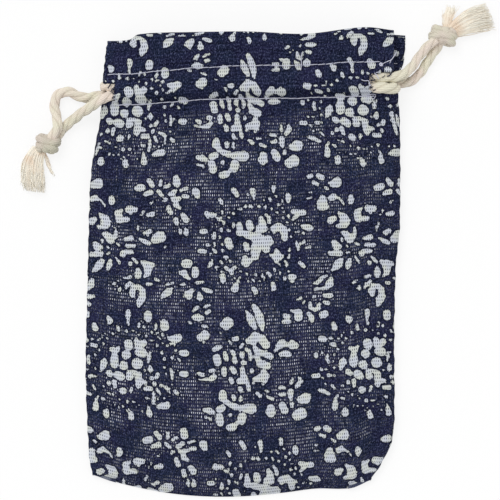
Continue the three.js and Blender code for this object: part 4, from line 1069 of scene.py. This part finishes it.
# The seams are machine lockstitch in pale spun thread, about four stitches to the centimetre. Each row
# shows as short arched stitches on both faces of the turned hem, and as one on the seam allowances.
STITCH_LENGTH = 2.5
THREAD_RADIUS = 0.15
sewing_cotton, tree = new_material("pale_spun_sewing_thread")
uv = add_node(tree, "ShaderNodeUVMap", [], uv_map="along")
ply = add_node(tree, "ShaderNodeSeparateXYZ", [uv]).node
twist = add_node(tree, "ShaderNodeMath", [ply.outputs[1], 1.4], operation="MULTIPLY")
twist = add_node(tree, "ShaderNodeMath", [twist, ply.outputs[0]], operation="ADD")
twist = add_node(tree, "ShaderNodeMath", [twist, 4 * math.pi], operation="MULTIPLY")
twist = add_node(tree, "ShaderNodeMath", [twist], operation="SINE")
share = add_node(tree, "ShaderNodeMapRange", {0: twist, 1: -1.0, 2: 1.0, 3: 0.0, 4: 0.6})
thread_colour = add_node(tree, "ShaderNodeMix", {0: share, 6: colour("#d3d4e4"), 7: colour("#b9bad0")},
                         output=2, data_type="RGBA")
bumped = add_node(tree, "ShaderNodeBump", {"Strength": 0.4, "Distance": 0.00005, "Height": twist})
surface = add_node(tree, "ShaderNodeBsdfPrincipled", {
    "Base Color": thread_colour, "Roughness": 0.7, "Specular IOR Level": 0.3, "Normal": bumped})
tree.links.new(surface, tree.nodes.new("ShaderNodeOutputMaterial").inputs[0])


def stitches(v, is_front, from_u, to_u, faces):
    """Stitches along a row. A face is where the thread lies and which way is outward from it."""
    inset = right_inset_front if is_front else right_inset_back
    v = np.array(v, float)
    left = through(left_inset, v) - POUCH_WIDTH / 2
    right = POUCH_WIDTH / 2 - through(inset, v)
    made = []
    start_x, end_x = mix(left, right, (from_u + 1) / 2), mix(left, right, (to_u + 1) / 2)
    count = round(float(end_x - start_x) / STITCH_LENGTH)
    for face, outward in faces:
        for n in range(count):
            share = np.linspace(-0.01, 1.01, 7)
            x = mix(start_x, end_x, (n + share) / count)
            u = 2 * (x - left) / (right - left) - 1
            y = height_of_line(x, 0 * x + v) + mix(-0.06, 0.06, share) + 0.09 * np.sin((n + share) * 1.3)
            arch = np.maximum(0, np.sin(share * math.pi))
            z = face(x, y, u, 0 * x + v) + outward * (mix(-0.12, 0.12, arch ** 0.4))
            made.append(swept(np.stack([x, y, z], axis=1), np.full(7, THREAD_RADIUS), 6))
    return made


def front_outer_face(x, y, u, v):
    return front_inner(x, u, v) + hem_section(v) + softness(x, y, u, v)


def front_inner_face(x, y, u, v):
    return front_inner(x, u, v) + softness(x, y, u, v)


def back_inner_face(x, y, u, v):
    return hem_section(v)


def back_outer_face(x, y, u, v):
    return 0 * x + 0.2


for name, node, v, is_front, ends, faces in (
    ("stitches_front_upper", "stitch_front_upper", 2.04, True, (-0.97, 0.9),
     [(front_outer_face, 1), (front_inner_face, -1)]),
    ("stitches_front_lower", "stitch_front_lower", 0.996, True, (-0.9, 0.84),
     [(front_outer_face, 1), (front_inner_face, -1)]),
    ("stitches_back_upper", "stitch_back_upper", 2.04, False, (-0.96, 0.96),
     [(back_inner_face, 1), (back_outer_face, -1)]),
    ("stitches_back_lower", "stitch_back_lower", 0.996, False, (-0.84, 0.84),
     [(back_inner_face, 1), (back_outer_face, -1)]),
):
    new_piece(name, stitches(v, is_front, *ends, faces), sewing_cotton, [node])


def seam_stitches(side):
    """The side seam's stitches, on the sewn edge of the seam allowances inside the pouch."""
    made = []
    count = round(0.89 * BODY_LENGTH / STITCH_LENGTH)
    for n in range(count):
        v = mix(0.06, 0.95, (n + np.linspace(0.04, 0.96, 7)) / count)
        left = through(left_inset, v) - POUCH_WIDTH / 2
        right = POUCH_WIDTH / 2 - through(right_inset_front, v)
        x = mix(left, right, (side * 0.955 + 1) / 2)
        z = 1.8 + mix(-0.2, 0.2, np.sin(np.linspace(0.04, 0.96, 7) * math.pi) ** 0.5)
        made.append(swept(np.stack([x, height_of_line(x, v), z], axis=1), np.full(7, THREAD_RADIUS), 6))
    return made


new_piece("seam_stitches_left", seam_stitches(-1), sewing_cotton, ["seam_thread_left"])
new_piece("seam_stitches_right", seam_stitches(1), sewing_cotton, ["seam_thread_right"])

# At the ends of the front's rows the thread is knotted and cut long, with loose loops by the right slit.
# Each loose thread is listed as the photograph's pixels, with how much higher than the cloth it lies.
THREAD_LIFT = 0.12


def thread(points, radius=THREAD_RADIUS):
    """A loose thread through pixels of the photograph, lying on the front's outer face."""
    made = []
    rows = [0.9, 1.0, 2.0, 3.0]
    for x, y, higher in points:
        x, y = from_photo(x, y)
        v = np.array([np.interp(y, [height_of_line(np.array([x]), np.array([n]))[0] for n in rows], rows)])
        left = through(left_inset, v) - POUCH_WIDTH / 2
        right = POUCH_WIDTH / 2 - through(right_inset_front, v)
        u = np.clip(2 * (x - left) / (right - left) - 1, -1, 1)
        face = front_outer_face(np.array([x]), np.array([y]), u, v)
        made.append((x, y, face[0] + THREAD_LIFT + higher))
    line = smooth_line(made, 0.3)
    return swept(line, np.full(len(line), radius), 6)


loose_threads = [
    thread([(379.3, 64.8, 0), (380.6, 63.2, 0.1), (382.2, 64.6, 0.1), (381.0, 66.4, 0), (379.5, 65.2, 0.2),
            (381.2, 64.0, 0.4), (381.5, 65.8, 0.3)], radius=0.24),
    thread([(381.5, 64.6, 0.1), (384.5, 63.0, 0), (388.0, 61.4, 0), (391.0, 60.0, 0), (393.2, 57.4, 0),
            (394.8, 54.8, -0.2), (396.4, 52.5, -0.4)]),
    thread([(391.2, 59.8, 0.1), (390.4, 61.6, 0), (389.5, 63.5, 0)], radius=0.12),
    thread([(301.6, 53.0, 0), (301.0, 58.0, 0.1), (301.2, 64.0, 0.1), (300.5, 71.0, 0)], radius=0.14),
    thread([(361.0, 80.5, 0), (364.5, 81.6, 0.2), (367.8, 81.4, 0.3), (369.0, 84.0, 0.3), (368.4, 87.0, 0.2),
            (370.6, 85.2, 0.2)], radius=0.13),
    thread([(366.0, 95.8, 0), (369.0, 95.2, 0.1), (373.0, 94.3, 0.1), (375.4, 95.2, 0), (374.4, 98.2, 0.2),
            (372.6, 99.6, 0.1)], radius=0.13),
    thread([(374.0, 73.6, 0), (376.2, 76.0, 0.2), (378.4, 79.8, 0.6)], radius=0.13),
    thread([(375.6, 73.2, 0.1), (378.0, 72.8, 0.2), (380.0, 70.6, 0.1)], radius=0.13),
]
new_piece("loose_thread_ends", loose_threads, sewing_cotton, [])

# The cut edges at both slits have frayed a little: short ends of navy and of undyed yarn stick out.
navy_yarn, tree = new_material("frayed_navy_cotton_yarn")
objects = add_node(tree, "ShaderNodeTexCoord", [], output=3)
fuzz = add_node(tree, "ShaderNodeTexNoise", {"Vector": objects, "Scale": 900.0, "Detail": 2.0})
yarn_colour = add_node(tree, "ShaderNodeMix", {0: fuzz, 6: colour("#10131f"), 7: colour("#3a3f57")},
                       output=2, data_type="RGBA")
bumped = add_node(tree, "ShaderNodeBump", {"Strength": 0.4, "Distance": 0.0001, "Height": fuzz})
surface = add_node(tree, "ShaderNodeBsdfPrincipled", {
    "Base Color": yarn_colour, "Roughness": 0.95, "Specular IOR Level": 0.2, "Normal": bumped})
tree.links.new(surface, tree.nodes.new("ShaderNodeOutputMaterial").inputs[0])

frays = [
    thread([(111.2, 83.6, 0.2), (110.2, 86.0, 0.4), (108.4, 88.8, 0.3)], radius=0.2),
    thread([(114.6, 88.0, 0), (112.6, 89.6, 0.1), (111.6, 91.4, -0.2)], radius=0.12),
    thread([(115.0, 92.0, 0), (113.0, 92.6, 0), (110.4, 92.2, -0.3)], radius=0.12),
    thread([(371.0, 77.6, 0.1), (373.4, 79.6, 0.3), (374.6, 81.0, 0.2)], radius=0.12),
    thread([(370.4, 80.6, 0.1), (372.6, 81.0, 0.4), (374.8, 80.4, 0.4)], radius=0.16),
    thread([(384.6, 75.6, 0), (383.2, 77.4, 0.1), (381.4, 78.2, 0)], radius=0.12),
    thread([(391.0, 73.4, 0), (389.4, 75.8, 0), (386.6, 77.0, -0.2)], radius=0.2),
    thread([(372.6, 91.6, 0), (375.0, 90.4, 0.3), (377.2, 91.2, 0.3)], radius=0.12),
]
# The rest are set by chance along the two edges, which are columns and rows of the photograph's pixels.
FRAYED_ENDS = 26
LEFT_EDGE = 115.6
RIGHT_EDGE = 369.2
LEFT_EDGE_ROWS = (84.5, 102)
RIGHT_EDGE_ROWS = (76, 92)
for number in range(FRAYED_ENDS):
    side = number % 2
    place = chance.uniform(*LEFT_EDGE_ROWS) if side else chance.uniform(*RIGHT_EDGE_ROWS)
    start = LEFT_EDGE if side else RIGHT_EDGE
    reach = chance.uniform(1.5, 4.0) * (-1 if side else 1)
    frays.append(thread([(start, place, -0.05), (start + reach * 0.5, place + chance.normal(0, 0.6), 0.05),
                         (start + reach, place + chance.normal(0, 1.2), -0.1)],
                        radius=chance.uniform(0.06, 0.11)))
new_piece("frayed_slit_edges", frays, navy_yarn, [])

# The pouch lies on a plain white table under soft light from all sides, a little stronger from the upper
# left. The table shows white to the camera and keeps a faint shadow.
TABLE_HEIGHT = -0.00008
AMBIENT_STRENGTH = 0.72
WINDOW_STRENGTH = 1.1
WINDOW_SPREAD = 35
bpy.ops.mesh.primitive_plane_add(size=4, location=(0, 0, TABLE_HEIGHT))
table = bpy.context.active_object
table.name = "table_top"
bpy.ops.object.transform_apply(location=True)
table.select_set(False)
white_table, tree = new_material("white_table_top")
camera_rays = add_node(tree, "ShaderNodeLightPath", [])
lit = add_node(tree, "ShaderNodeBsdfDiffuse", {"Color": (0.98, 0.98, 0.98, 1.0)})
shown = add_node(tree, "ShaderNodeEmission", {"Color": (1.0, 1.0, 1.0, 1.0), "Strength": 1.0})
share = add_node(tree, "ShaderNodeMath", [camera_rays, 0.82], operation="MULTIPLY")
both = add_node(tree, "ShaderNodeMixShader", [share, lit, shown])
tree.links.new(both, tree.nodes.new("ShaderNodeOutputMaterial").inputs[0])
table.data.materials.append(white_table)

world = bpy.data.worlds.new("white_studio")
bpy.context.scene.world = world
world.use_nodes = True
tree = world.node_tree
tree.nodes.clear()
camera_rays = add_node(tree, "ShaderNodeLightPath", [])
ambient = add_node(tree, "ShaderNodeBackground",
                   {"Color": (1.0, 1.0, 1.0, 1.0), "Strength": AMBIENT_STRENGTH})
behind = add_node(tree, "ShaderNodeBackground", {"Color": (1.0, 1.0, 1.0, 1.0), "Strength": 1.0})
both = add_node(tree, "ShaderNodeMixShader", [camera_rays, ambient, behind])
tree.links.new(both, tree.nodes.new("ShaderNodeOutputWorld").inputs[0])

bpy.ops.object.light_add(type="SUN", rotation=(math.radians(-28), math.radians(-20), 0))
window = bpy.context.active_object
window.name = "window_light"
window.data.energy = WINDOW_STRENGTH
window.data.angle = math.radians(WINDOW_SPREAD)
window.select_set(False)

bpy.context.scene.view_settings.view_transform = "Standard"
